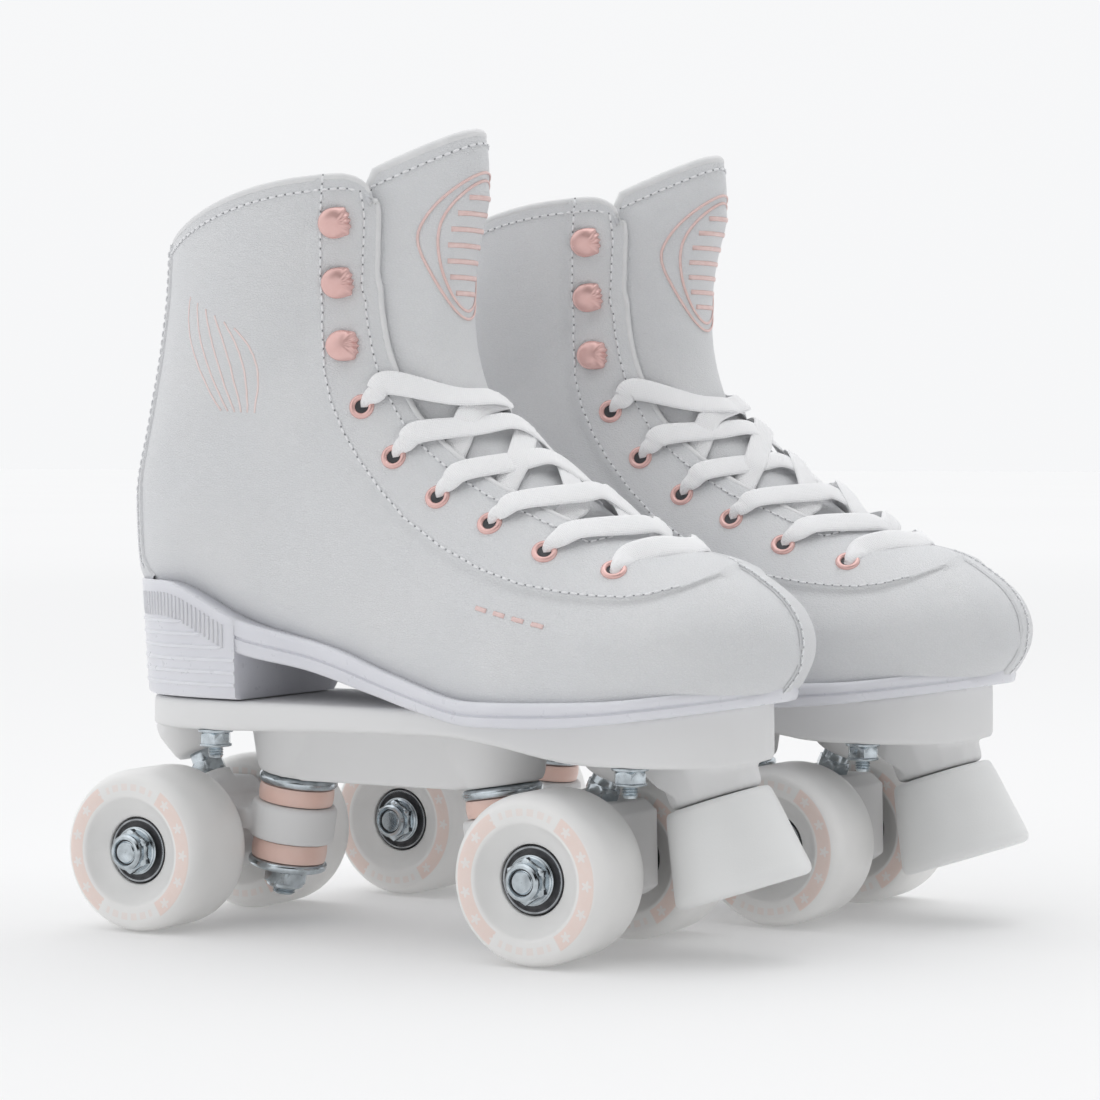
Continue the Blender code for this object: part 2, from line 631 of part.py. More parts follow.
def attach(obj, origin_mm, parent, parent_origin_mm):
    """Puts the object's origin on its joint, or on its parent's, and parents it."""
    shift = Vector(origin_mm) * MM
    for v in obj.data.vertices:
        v.co -= shift
    obj.parent = parent
    obj.location = (Vector(origin_mm) - Vector(parent_origin_mm)) * MM


def mirrored(obj, name):
    mesh = obj.data.copy()
    for v in mesh.vertices:
        v.co.y = -v.co.y
    mesh.flip_normals()
    mesh.name = name
    made = bpy.data.objects.new(name, mesh)
    bpy.context.scene.collection.objects.link(made)
    return made


def main():
    for old in list(bpy.data.objects):
        bpy.data.objects.remove(old, do_unlink=True)
    stop, stop_bolt = build_toe_stop()
    fixed = [build_upper(), build_tongue(), build_footbed(), build_outsole(), build_laces(), build_plate(),
             stop, stop_bolt]
    trucks = {}
    for sign, tag in ((1, "front"), (-1, "rear")):
        fixed.append(build_kingpin(sign, tag))
        fixed += build_stack(sign, tag)
        wheels = []
        for side, where in ((-1, "outer"), (1, "inner")):
            wheels += [(side, piece) for piece in build_wheel(sign, side, tag + "_" + where)]
        trucks[tag] = (sign, [build_hanger(sign, tag), build_axle(sign, tag)], wheels)

    for prefix, flip in (("right", 1), ("left", -1)):
        ahead = LEFT_AHEAD if flip < 0 else 0.0
        base = empty(prefix + "_skate", ((PAIR_SHIFT_X + ahead) * MM,
                                          (PAIR_SHIFT_Y - flip * SKATE_SPACING / 2) * MM, 0))
        base.rotation_euler.z = LEFT_TURN if flip < 0 else 0.0

        def place(piece, origin, parent, parent_origin):
            name = prefix + "_" + piece.name
            made = mirrored(piece, name) if flip < 0 else piece.copy()
            if flip > 0:
                made.data = piece.data.copy()
                made.name = name
                bpy.context.scene.collection.objects.link(made)
            at = (origin[0], origin[1] * flip, origin[2])
            attach(made, at, parent, parent_origin)

        for piece in fixed:
            place(piece, (0, 0, 0), base, (0, 0, 0))
        for tag, (sign, solid, wheels) in trucks.items():
            pivot = (sign * PIVOT[0], 0, PIVOT[1])
            truck = empty(prefix + "_truck_" + tag, Vector(pivot) * MM, base)
            for piece in solid:
                place(piece, pivot, truck, pivot)
            for side, piece in wheels:
                place(piece, (sign * WHEELBASE / 2, side * TRACK / 2, AXLE_Z), truck, pivot)
    for piece in fixed + [p for _, solid, wheels in trucks.values() for p in solid + [w for _, w in wheels]]:
        bpy.data.objects.remove(piece, do_unlink=True)
    for mesh in list(bpy.data.meshes):
        if not mesh.users:
            bpy.data.meshes.remove(mesh)


main()
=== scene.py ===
"""Looks of the quad roller skate pair. Each piece is modelled in millimetres in the frame of the right
skate (x to the toe, y to the skater's left, z up) and set down twice, the second time mirrored."""
from math import asin, cos, pi, radians, sin, sqrt

import bpy
from mathutils import Matrix, Vector


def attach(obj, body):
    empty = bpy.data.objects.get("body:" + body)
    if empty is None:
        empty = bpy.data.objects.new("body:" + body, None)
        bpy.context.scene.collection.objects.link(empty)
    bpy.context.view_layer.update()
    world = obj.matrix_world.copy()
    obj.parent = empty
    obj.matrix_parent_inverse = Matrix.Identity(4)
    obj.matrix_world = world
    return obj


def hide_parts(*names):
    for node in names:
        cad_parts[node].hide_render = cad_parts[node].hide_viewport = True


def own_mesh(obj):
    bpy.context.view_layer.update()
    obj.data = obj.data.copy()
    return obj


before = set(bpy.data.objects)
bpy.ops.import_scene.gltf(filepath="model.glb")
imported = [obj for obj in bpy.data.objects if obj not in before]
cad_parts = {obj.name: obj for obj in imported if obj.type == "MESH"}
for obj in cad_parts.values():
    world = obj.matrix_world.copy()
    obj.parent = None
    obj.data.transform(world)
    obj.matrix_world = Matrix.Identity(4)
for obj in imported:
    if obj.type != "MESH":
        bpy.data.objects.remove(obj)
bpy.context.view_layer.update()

MM = 0.001
PLACE = {"right": Matrix.Translation(Vector((-37.915, -60.279, 0)) * MM),
         "left": Matrix.Translation(Vector((-7.415, 57.521, 0)) * MM) @ Matrix.Rotation(radians(-2), 4, "Z")}
SIDES = ("right", "left")

# ---------------------------------------------------------------- shaders

def node_material(name, color, roughness, metallic=0.0, **sockets):
    mat = bpy.data.materials.new(name)
    mat.use_nodes = True
    shader = mat.node_tree.nodes["Principled BSDF"]
    shader.inputs["Base Color"].default_value = (*color, 1)
    shader.inputs["Roughness"].default_value = roughness
    shader.inputs["Metallic"].default_value = metallic
    for key, value in sockets.items():
        shader.inputs[key.replace("_", " ")].default_value = value
    mat.diffuse_color = (*color, 1)
    return mat, mat.node_tree, shader


def add(tree, kind, **values):
    node = tree.nodes.new(kind)
    for key, value in values.items():
        if key in node.inputs:
            node.inputs[key].default_value = value
        else:
            setattr(node, key, value)
    return node


def math(tree, op, a, b=None, c=None):
    node = tree.nodes.new("ShaderNodeMath")
    node.operation = op
    for i, v in enumerate((a, b, c)):
        if v is None:
            continue
        if isinstance(v, (int, float)):
            node.inputs[i].default_value = v
        else:
            tree.links.new(v, node.inputs[i])
    return node.outputs[0]


def coordinates(tree):
    """Object coordinates in millimetres."""
    coord = add(tree, "ShaderNodeTexCoord")
    scale = add(tree, "ShaderNodeVectorMath", operation="SCALE")
    scale.inputs["Scale"].default_value = 1000
    tree.links.new(coord.outputs["Object"], scale.inputs[0])
    return scale.outputs[0]


def noise(tree, vector, scale, detail=2.0, rough=0.5):
    node = add(tree, "ShaderNodeTexNoise", Scale=scale, Detail=detail, Roughness=rough)
    tree.links.new(vector, node.inputs["Vector"])
    return node.outputs["Fac"]


def vary(tree, factor, low, high):
    """low to high colour by factor."""
    ramp = add(tree, "ShaderNodeValToRGB")
    ramp.color_ramp.elements[0].color = (*low, 1)
    ramp.color_ramp.elements[1].color = (*high, 1)
    ramp.color_ramp.elements[0].position = 0.3
    ramp.color_ramp.elements[1].position = 0.7
    tree.links.new(factor, ramp.inputs[0])
    return ramp.outputs[0]


def mix_color(tree, factor, a, b):
    node = tree.nodes.new("ShaderNodeMix")
    node.data_type = "RGBA"
    if isinstance(factor, (int, float)):
        node.inputs["Factor"].default_value = factor
    else:
        tree.links.new(factor, node.inputs["Factor"])
    for name, v in (("A", a), ("B", b)):
        socket = [s for s in node.inputs if s.name == name and s.type == "RGBA"][0]
        if isinstance(v, tuple):
            socket.default_value = (*v, 1)
        else:
            tree.links.new(v, socket)
    return [s for s in node.outputs if s.type == "RGBA"][0]


def bump(tree, shader, height, strength, distance):
    node = add(tree, "ShaderNodeBump", Strength=strength, Distance=distance)
    tree.links.new(height, node.inputs["Height"])
    tree.links.new(node.outputs[0], shader.inputs["Normal"])


def smooth_range(tree, value, low, high, start=0.0, end=1.0):
    """start to end while value goes from low to high, eased at both ends."""
    node = add(tree, "ShaderNodeMapRange", interpolation_type="SMOOTHSTEP")
    for key, number in (("From Min", low), ("From Max", high), ("To Min", start), ("To Max", end)):
        node.inputs[key].default_value = number
    tree.links.new(value, node.inputs["Value"])
    return node.outputs[0]


def within(tree, value, low, high, soft):
    """1 between low and high with soft edges."""
    return math(tree, "MULTIPLY", smooth_range(tree, value, low - soft, low + soft),
                smooth_range(tree, value, high - soft, high + soft, 1.0, 0.0))


def length_of(tree, a, b):
    return math(tree, "SQRT", math(tree, "ADD", math(tree, "MULTIPLY", a, a), math(tree, "MULTIPLY", b, b)))


def leather():
    mat, t, s = node_material("white_leather", (0.74, 0.75, 0.76), 0.46, Specular_IOR_Level=0.42,
                              Coat_Weight=0.06, Coat_Roughness=0.35)
    v = coordinates(t)
    cells = add(t, "ShaderNodeTexVoronoi", Scale=1.15, feature="DISTANCE_TO_EDGE")
    warp = add(t, "ShaderNodeVectorMath", operation="MULTIPLY")
    warp.inputs[1].default_value = (0.8, 1.0, 1.25)
    t.links.new(v, warp.inputs[0])
    t.links.new(warp.outputs[0], cells.inputs["Vector"])
    grain = math(t, "MINIMUM", cells.outputs["Distance"], 0.16)
    height = math(t, "MULTIPLY_ADD", noise(t, v, 2.4, 3.0, 0.6), 0.16, grain)
    bump(t, s, height, 0.8, 0.0007)
    tint = vary(t, noise(t, v, 0.03, 2.0), (0.735, 0.745, 0.76), (0.765, 0.77, 0.78))
    # painted shade: the grain's low crevices are darkened in the colour
    grain_crease_shade = mix_color(t, math(t, "MULTIPLY_ADD", grain, -1.6, 0.26), tint, (0.63, 0.64, 0.66))
    t.links.new(grain_crease_shade, s.inputs["Base Color"])
    t.links.new(math(t, "MULTIPLY_ADD", noise(t, v, 0.6, 2.0), 0.16, 0.38), s.inputs["Roughness"])
    return mat


def plain(name, low, high, rough, scale=0.05, bump_scale=3.0, bump_height=0.00006, metallic=0.0, **sockets):
    """A moulded material: faint colour drift, fine surface texture and uneven gloss."""
    mat, t, s = node_material(name, high, rough, metallic, **sockets)
    v = coordinates(t)
    t.links.new(vary(t, noise(t, v, scale, 2.0), low, high), s.inputs["Base Color"])
    bump(t, s, noise(t, v, bump_scale, 2.0), 0.5, bump_height)
    t.links.new(math(t, "MULTIPLY_ADD", noise(t, v, bump_scale * 0.3, 2.0), 0.14, rough - 0.07),
                s.inputs["Roughness"])
    return mat


def lace_material():
    mat, t, s = node_material("lace_weave", (0.95, 0.95, 0.96), 0.75, Sheen_Weight=0.15,
                              Specular_IOR_Level=0.2)
    uv = add(t, "ShaderNodeAttribute", attribute_name="ribbon")
    split = add(t, "ShaderNodeSeparateXYZ")
    t.links.new(uv.outputs["Vector"], split.inputs[0])
    along = math(t, "MULTIPLY", split.outputs[0], 2 * pi / 1.2)
    across = math(t, "MULTIPLY", split.outputs[1], 2 * pi / 1.2)
    weave = math(t, "MULTIPLY", math(t, "SINE", math(t, "ADD", along, across)),
                 math(t, "SINE", math(t, "SUBTRACT", along, across)))
    height = math(t, "MULTIPLY_ADD", noise(t, coordinates(t), 4.0), 0.5, weave)
    bump(t, s, height, 0.6, 0.00012)
    # painted shade: the weave's low parts are darker and its raised parts lighter in the colour
    tint = vary(t, math(t, "MULTIPLY_ADD", weave, 0.5, 0.5), (0.94, 0.943, 0.955), (0.985, 0.985, 0.99))
    t.links.new(tint, s.inputs["Base Color"])
    return mat


def zinc_with_painted_reflection(name, tone=(0.62, 0.68, 0.72), rough=0.15):
    mat, t, s = node_material(name, tone, rough, 1.0)
    v = coordinates(t)
    # painted reflection: darker noise patches stand in for the dark reflections in the shiny metal
    reflection_dark = tuple(c * 0.6 for c in tone)
    t.links.new(vary(t, noise(t, v, 0.25, 2.0), reflection_dark, tone), s.inputs["Base Color"])
    t.links.new(math(t, "MULTIPLY_ADD", noise(t, v, 0.8, 2.0), 0.12, rough - 0.05), s.inputs["Roughness"])
    bump(t, s, noise(t, v, 1.2, 1.0), 0.15, 0.00004)
    return mat


def wheel_material():
    """Off-white polyurethane with a pale printed band: two arcs with small stars, plain dashes between."""
    mat, t, s = node_material("wheel_urethane", (0.88, 0.87, 0.85), 0.33, Subsurface_Weight=0.15,
                              Subsurface_Scale=0.003, Subsurface_Radius=(1, 1, 1), Specular_IOR_Level=0.45)
    v = coordinates(t)
    p = add(t, "ShaderNodeSeparateXYZ")
    t.links.new(v, p.inputs[0])
    x, y, z = p.outputs[0], p.outputs[1], p.outputs[2]
    r = length_of(t, x, z)
    phi = math(t, "ARCTAN2", z, x)
    face = within(t, math(t, "ABSOLUTE", y), 15.0, 30.0, 0.2)
    band = within(t, r, 19.3, 24.3, 0.25)
    side = within(t, math(t, "ABSOLUTE", math(t, "COSINE", phi)), 0.53, 2.0, 0.012)
    # stars, one every 24 degrees round the band
    step, middle = radians(24), 21.8       # millimetres from the wheel's axis
    local = math(t, "SUBTRACT", math(t, "MODULO", math(t, "ADD", phi, 10 * step + step / 2), step), step / 2)
    sx = math(t, "MULTIPLY", local, middle)
    sz = math(t, "SUBTRACT", r, middle)
    angle = math(t, "ARCTAN2", sx, sz)
    reach = math(t, "MULTIPLY_ADD", math(t, "COSINE", math(t, "MULTIPLY", angle, 5.0)), 0.5, 1.35)
    away = length_of(t, sx, sz)
    star = within(t, math(t, "SUBTRACT", reach, away), 0.0, 9.0, 0.12)
    arcs = math(t, "MULTIPLY", math(t, "MULTIPLY", band, side),
                math(t, "SUBTRACT", 1.0, math(t, "MULTIPLY", star, 0.7)))
    # plain dashes where the arcs leave off
    gap = within(t, math(t, "ABSOLUTE", math(t, "SINE", phi)), 0.905, 2.0, 0.01)
    beat = within(t, math(t, "ABSOLUTE", math(t, "SINE", math(t, "MULTIPLY", phi, 18.0))), 0.55, 2.0, 0.1)
    dashes = math(t, "MULTIPLY", math(t, "MULTIPLY", gap, beat), within(t, r, 20.6, 22.9, 0.2))
    mask = math(t, "MULTIPLY", face, math(t, "MAXIMUM", arcs, math(t, "MULTIPLY", dashes, 0.4)))
    base = vary(t, noise(t, v, 0.06, 2.0), (0.84, 0.837, 0.825), (0.88, 0.873, 0.86))
    worn = math(t, "MULTIPLY_ADD", noise(t, v, 0.5, 3.0), 0.3, 0.72)
    t.links.new(mix_color(t, math(t, "MULTIPLY", mask, worn), base, (0.87, 0.715, 0.655)),
                s.inputs["Base Color"])
    bump(t, s, noise(t, v, 2.2, 2.0), 0.4, 0.00005)
    t.links.new(math(t, "MULTIPLY_ADD", noise(t, v, 0.4, 2.0), 0.14, 0.27), s.inputs["Roughness"])
    return mat


LEATHER = leather()
LINING = plain("boot_lining", (0.66, 0.67, 0.69), (0.74, 0.75, 0.77), 0.85, 0.1, 2.2, 0.0003,
               Sheen_Weight=0.2)
EDGE = plain("folded_edge", (0.74, 0.745, 0.75), (0.79, 0.79, 0.795), 0.42, 0.2, 2.0, 0.0001)
THREAD = plain("thread", (0.8, 0.81, 0.83), (0.9, 0.9, 0.91), 0.6, 2.0, 5.0, 0.0001)
# painted shade in the needle holes between stitches
HOLE_SHADE = plain("needle_hole_shade", (0.2, 0.205, 0.215), (0.3, 0.305, 0.315), 0.8, 0.5, 3.0, 0.0001)
SOLE = plain("milky_sole", (0.71, 0.715, 0.76), (0.77, 0.775, 0.815), 0.3, 0.03, 1.2, 0.00006,
             Subsurface_Weight=0.35, Subsurface_Scale=0.004, Subsurface_Radius=(1, 1, 1),
             Specular_IOR_Level=0.5)
STOP = plain("stop_rubber", (0.79, 0.795, 0.79), (0.84, 0.845, 0.84), 0.4, 0.03, 1.6, 0.00008,
             Subsurface_Weight=0.4, Subsurface_Scale=0.004, Subsurface_Radius=(1, 1, 1))
CUSHION = plain("cushion_urethane", (0.87, 0.60, 0.52), (0.9, 0.65, 0.575), 0.38, 0.12, 1.6, 0.00008,
                Subsurface_Weight=0.2, Subsurface_Scale=0.003, Subsurface_Radius=(1, 1, 1))
PINK = plain("pink_lacquer", (0.77, 0.475, 0.44), (0.81, 0.52, 0.485), 0.24, 0.3, 2.0, 0.00005, 0.35,
             Coat_Weight=0.5, Coat_Roughness=0.12)
EMBOSS = plain("pink_emboss", (0.78, 0.56, 0.53), (0.84, 0.64, 0.61), 0.4, 0.4, 2.0, 0.0001)
ZINC = zinc_with_painted_reflection("zinc_plate")
STEEL = zinc_with_painted_reflection("bearing_ring", (0.42, 0.44, 0.46), 0.24)
# dark bearing shields; also the painted shade in the eyelets' holes
SHIELD_AND_EYELET_SHADE = plain("bearing_shield_and_eyelet_shade", (0.035, 0.036, 0.04), (0.07, 0.07, 0.075), 0.38, 0.4, 2.0, 0.00006, 0.4)
LACE = lace_material()
WHEEL = wheel_material()
INSOLE = plain("insole_cloth", (0.66, 0.67, 0.69), (0.76, 0.77, 0.79), 0.9, 0.15, 2.0, 0.0003,
               Sheen_Weight=0.3)

# ---------------------------------------------------------------- mesh helpers

class Shape:
    """Points, faces and one material index per face, in millimetres."""

    def __init__(self):
        self.points, self.faces, self.slots, self.ribbon = [], [], [], []

    def grid(self, rows, wrap=False, flip=False, slot=0, caps=False):
        base, n = len(self.points), len(rows[0])
        for row in rows:
            self.points += [Vector(p) for p in row]
        for j in range(len(rows) - 1):
            for i in range(n if wrap else n - 1):
                k = (i + 1) % n
                face = (base + j * n + i, base + j * n + k, base + (j + 1) * n + k, base + (j + 1) * n + i)
                self.faces.append(face[::-1] if flip else face)
                self.slots.append(slot)
        if caps:
            for j, turn in ((0, not flip), (len(rows) - 1, flip)):
                face = tuple(base + j * n + i for i in range(n))
                self.faces.append(face[::-1] if turn else face)
                self.slots.append(slot)
        return self

    def lathe(self, profile, origin, direction, segments=48, slot=0, shape=None, closed=False):
        """profile of (radius, distance along direction); shape(angle, radius) may change the radius."""
        d = Vector(direction).normalized()
        a = Vector((0, 1, 0)) if abs(d.y) < 0.9 else Vector((1, 0, 0))
        a = (a - d * a.dot(d)).normalized()
        b = d.cross(a)
        rows = []
        for r, h in profile:
            rows.append([Vector(origin) + d * h
                         + (a * cos(2 * pi * i / segments) + b * sin(2 * pi * i / segments))
                         * (shape(2 * pi * i / segments, r) if shape else r) for i in range(segments)])
        if closed:
            rows.append(rows[0])
        self.grid(rows, wrap=True, flip=False, slot=slot, caps=not closed)
        return self


def outward(mesh):
    import bmesh
    bm = bmesh.new()
    bm.from_mesh(mesh)
    bmesh.ops.remove_doubles(bm, verts=bm.verts, dist=1e-7)
    bmesh.ops.recalc_face_normals(bm, faces=bm.faces)
    bm.to_mesh(mesh)
    bm.free()


def to_mesh(name, shape, materials, closed=True, sharp=None):
    mesh = bpy.data.meshes.new(name)
    mesh.from_pydata([p * MM for p in shape.points], [], shape.faces)
    if shape.ribbon:
        layer = mesh.attributes.new("ribbon", "FLOAT_VECTOR", "POINT")
        layer.data.foreach_set("vector", [c for v in shape.ribbon for c in v])
    for mat in materials:
        mesh.materials.append(mat)
    mesh.polygons.foreach_set("material_index", shape.slots)
    if closed:
        outward(mesh)
    mesh.polygons.foreach_set("use_smooth", [True] * len(mesh.polygons))
    if sharp:
        mesh.set_sharp_from_angle(angle=radians(sharp))
    mesh.update()
    return mesh


def modified(mesh, *steps):
    """The mesh after the modifiers, each (type, {settings})."""
    obj = bpy.data.objects.new("work", mesh)
    bpy.context.scene.collection.objects.link(obj)
    for kind, settings in steps:
        m = obj.modifiers.new(kind.lower(), kind)
        for key, value in settings.items():
            setattr(m, key, value)
    bpy.context.view_layer.update()
    out = bpy.data.meshes.new_from_object(obj.evaluated_get(bpy.context.evaluated_depsgraph_get()))
    bpy.data.objects.remove(obj)
    return out


def mirrored(mesh):
    other = mesh.copy()
    other.transform(Matrix.Diagonal((1, -1, 1, 1)))
    other.flip_normals()
    return other


def pair(name, mesh, body, nodes=(), centre=(0, 0, 0)):
    """Sets the mesh down on both skates. centre, in mm, becomes the object's own origin."""
    made = {}
    middle = Matrix.Translation(Vector(centre) * MM)
    local = mesh.copy()
    local.transform(middle.inverted())
    for side in SIDES:
        data = local if side == "right" else mirrored(local)
        flip = Matrix.Diagonal((1, 1 if side == "right" else -1, 1, 1))
        obj = bpy.data.objects.new(f"{side}_{name}", data)
        bpy.context.scene.collection.objects.link(obj)
        obj.matrix_world = PLACE[side] @ Matrix.Translation((flip @ (Vector(centre) * MM)))
        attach(obj, body.format(side=side))
        if nodes:
            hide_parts(*[n.format(side=side) for n in nodes])
        made[side] = obj
    return made


def lerp_table(table, x):
    if x <= table[0][0]:
        return table[0][1:]
    for a, b in zip(table, table[1:]):
        if x <= b[0]:
            t = (x - a[0]) / (b[0] - a[0])
            return tuple(p + (q - p) * t for p, q in zip(a[1:], b[1:]))
    return table[-1][1:]


def curve_table(table, x):
    """Smooth monotone interpolation of a table, column by column."""
    xs = [row[0] for row in table]
    if x <= xs[0]:
        return table[0][1:]
    if x >= xs[-1]:
        return table[-1][1:]
    j = max(i for i in range(len(xs) - 1) if xs[i] <= x)
    h = xs[j + 1] - xs[j]
    t = (x - xs[j]) / h
    out = []
    for c in range(1, len(table[0])):
        def slope(i):
            if i <= 0 or i >= len(xs) - 1:
                i = min(max(i, 0), len(xs) - 1)
                k = 0 if i == 0 else len(xs) - 2
                return (table[k + 1][c] - table[k][c]) / (xs[k + 1] - xs[k])
            a = (table[i][c] - table[i - 1][c]) / (xs[i] - xs[i - 1])
            b = (table[i + 1][c] - table[i][c]) / (xs[i + 1] - xs[i])
            return 0.0 if a * b <= 0 else 2 * a * b / (a + b)
        m0, m1 = slope(j) * h, slope(j + 1) * h
        p0, p1 = table[j][c], table[j + 1][c]
        out.append((2 * t ** 3 - 3 * t ** 2 + 1) * p0 + (t ** 3 - 2 * t ** 2 + t) * m0
                   + (-2 * t ** 3 + 3 * t ** 2) * p1 + (t ** 3 - t ** 2) * m1)
    return tuple(out)


def smooth_step(x, a, b):
    t = min(1.0, max(0.0, (x - a) / (b - a)))
    return t * t * (3 - 2 * t)


def last_below(low, high, below):
    """Bisection: how far up from low below(s) still holds."""
    for _ in range(26):
        s = (low + high) / 2
        low, high = (s, high) if below(s) else (low, s)
    return low


def spline(points, steps):
    """Catmull-Rom through the points."""
    pts = [Vector(p) for p in points]
    pts = [pts[0] * 2 - pts[1]] + pts + [pts[-1] * 2 - pts[-2]]
    out = []
    for j in range(1, len(pts) - 2):
        p0, p1, p2, p3 = pts[j - 1:j + 3]
        for i in range(steps):
            t = i / steps
            out.append(0.5 * (2 * p1 + (p2 - p0) * t + (2 * p0 - 5 * p1 + 4 * p2 - p3) * t ** 2
                              + (3 * p1 - p0 - 3 * p2 + p3) * t ** 3))
    out.append(pts[-2].copy())
    return out

# ---------------------------------------------------------------- the boot's surface

FEATHER = [(-104, 117.0), (-75, 117.0), (-38, 104.0), (-3, 96.8), (24, 88.2), (54, 81.6), (97, 83.0),
           (131, 87.0), (150, 91.0)]
# by ring: bottom or back point (x, z), top or front point (x, z), half width, where it lies, squareness,
# ridge
RINGS = [(-1, 149.0, 96.4, 149.2, 98.0, 1.2, 0.55, 2.2, 0.0),
         (-0.6, 147.0, 92.8, 148.4, 105.0, 11.0, 0.55, 2.4, 0.0),
         (0, 143.0, 90.8, 144.2, 113.0, 19.5, 0.55, 2.8, 0.0),
         (1, 137.0, 89.2, 136.0, 120.0, 28.6, 0.6, 3.4, 0.1),
         (2, 126.5, 87.2, 124.0, 126.4, 36.6, 0.64, 4.4, 0.2),
         (3, 110.0, 85.2, 108.0, 130.2, 42.5, 0.68, 5.6, 0.35),
         (4, 92.0, 83.6, 90.0, 137.0, 45.5, 0.7, 7.0, 0.5),
         (5, 72.0, 82.8, 70.0, 149.0, 45.5, 0.7, 8.0, 0.5),
         (6, 50.0, 83.3, 50.0, 161.0, 43.0, 0.7, 8.0, 0.5),
         (7, 27.0, 88.2, 34.0, 173.5, 39.5, 0.7, 7.5, 0.5),
         (8, 3.0, 95.8, 23.0, 187.0, 37.0, 0.68, 7.0, 0.5),
         (9, -20.0, 101.4, 17.5, 200.0, 35.5, 0.66, 6.0, 0.38),
         (10, -44.0, 107.6, 15.0, 211.0, 34.5, 0.62, 5.0, 0.25),
         (11, -68.0, 114.5, 14.0, 220.0, 34.5, 0.58, 3.8, 0.12),
         (12, -86.5, 115.0, 13.5, 225.0, 34.5, 0.55, 2.9, 0.0),
         (13, -98.0, 118.5, 13.2, 229.5, 34.5, 0.52, 2.3, 0.0),
         (14, -101.5, 138.5, 13.0, 234.0, 35.8, 0.5, 2.0, 0.0),
         (15, -95.5, 166.0, 12.7, 238.5, 37.0, 0.5, 2.0, 0.0),
         (16, -89.5, 191.0, 12.4, 243.0, 38.5, 0.5, 2.0, 0.0),
         (17, -86.0, 212.0, 12.2, 247.5, 39.5, 0.5, 2.0, 0.0),
         (18, -84.5, 230.5, 11.0, 252.0, 40.0, 0.5, 2.0, 0.0)]
LAST = 18.0
OPEN_FROM = 3.72           # ring where the throat's rounded end lies
# by ring: half the throat's width, and half the width of the tongue's flat part
THROAT = [(OPEN_FROM, 13.0), (4.3, 19), (5, 21), (6, 21.5), (7, 20.5), (9, 19.8), (12, 19), (14, 19.5),
          (16, 20.5),
          (18, 22.5)]
TONGUE = [(3, 11), (4, 15), (5, 18.5), (6, 19.5), (7, 19.5), (9, 20), (12, 20.5), (18, 22)]


def ring_values(s):
    return curve_table(RINGS, s)


def throat_half(s):
    if s <= OPEN_FROM:
        return 0.0
    return lerp_table(THROAT, s)[0] * sqrt(min(1.0, (s - OPEN_FROM) / 0.55))


def front_part(q, waist, ridge):
    """In front of the widest place: how far sideways, and how far down the ring's axis, as shares."""
    v = sin(q * pi / 2)
    return v, waist * ((1 - ridge) * (1 - sqrt(max(0.0, 1 - v * v))) + ridge * v * v)


def surface(s, q, side, inset=0.0):
    """A point of the upper. s: ring, q: 0 top middle, 1 widest, 2 bottom or back middle; side -1 is outer."""
    gx, gz, fx, fz, width, waist, square, ridge = ring_values(s)
    g, f = Vector((gx, 0, gz)), Vector((fx, 0, fz))
    axis = (g - f).normalized()
    f, g = f + axis * inset, g - axis * inset
    length = (g - f).length
    width = max(0.0, width - inset)
    if q <= 1:
        v, u = front_part(q, waist, ridge)
    else:
        a = min(q - 1, 1.0) * pi / 2
        u = waist + (1 - waist) * sin(a) ** (2 / square)
        v = max(0.0, cos(a)) ** (2 / square)
    if q > 1:       # the lasted edge goes down inside the sole
        u *= 1 + (u - waist) / max(0.01, 1 - waist) * 5.5 / length * (1
                - smooth_step(s, 11.5, 13.2)) * smooth_step(s, -1, 0.5)
    p = f + axis * (u * length)
    rim = 4.5 * smooth_step(s, 16.5, 18) * sin(pi * min(1.0, u * 1.15)) * (u < 0.87)
    if s > 16.5:    # the facing's top corner is rounded off
        near = min(1.0, max(0.0, (q - throat_q(s)) * 60 / 10))
        rim -= 7.5 * smooth_step(s, 16.5, 18) * (1 - sqrt(max(0.0, 1 - (1 - near) ** 2)))
    return Vector((p.x, side * v * width, p.z + rim))


def normal_at(s, q, side):
    e = 0.02
    a, b = max(s - e, -0.98), min(s + e, LAST)
    qa, qb = max(q - e, 0.0), min(q + e, 2.0)
    n = (surface(b, q, side) - surface(a, q, side)).cross(surface(s, qb, side) - surface(s, qa, side))
    if n.length < 1e-9:
        return Vector((1, 0, 0))
    n.normalize()
    gx, gz, fx, fz = ring_values(s)[:4]
    centre = Vector(((gx + fx) / 2, 0, (gz + fz) / 2))
    return n if n.dot(surface(s, q, side) - centre) > 0 else -n


def on_surface(s, q, side, lift):
    return surface(s, q, side) + normal_at(s, q, side) * lift


# rear edge of the facing (x, z): down the shaft, along the eyelets and over the toe
SEAM = [(-10.0, 257), (-10.5, 249), (-11.8, 233), (-13.4, 218), (-13.8, 201), (-11.7, 185), (-8.4, 174.5),
        (-3.2, 165),
        (3.6, 156), (12.7, 146.3), (23.5, 137), (38.4, 128.4), (54.5, 121.8), (69.3, 117.6), (84, 115.2),
        (94, 114.4),
        (103, 114.2), (111.5, 115.4), (120, 118.2), (125.5, 121.4), (128.5, 124.4)]


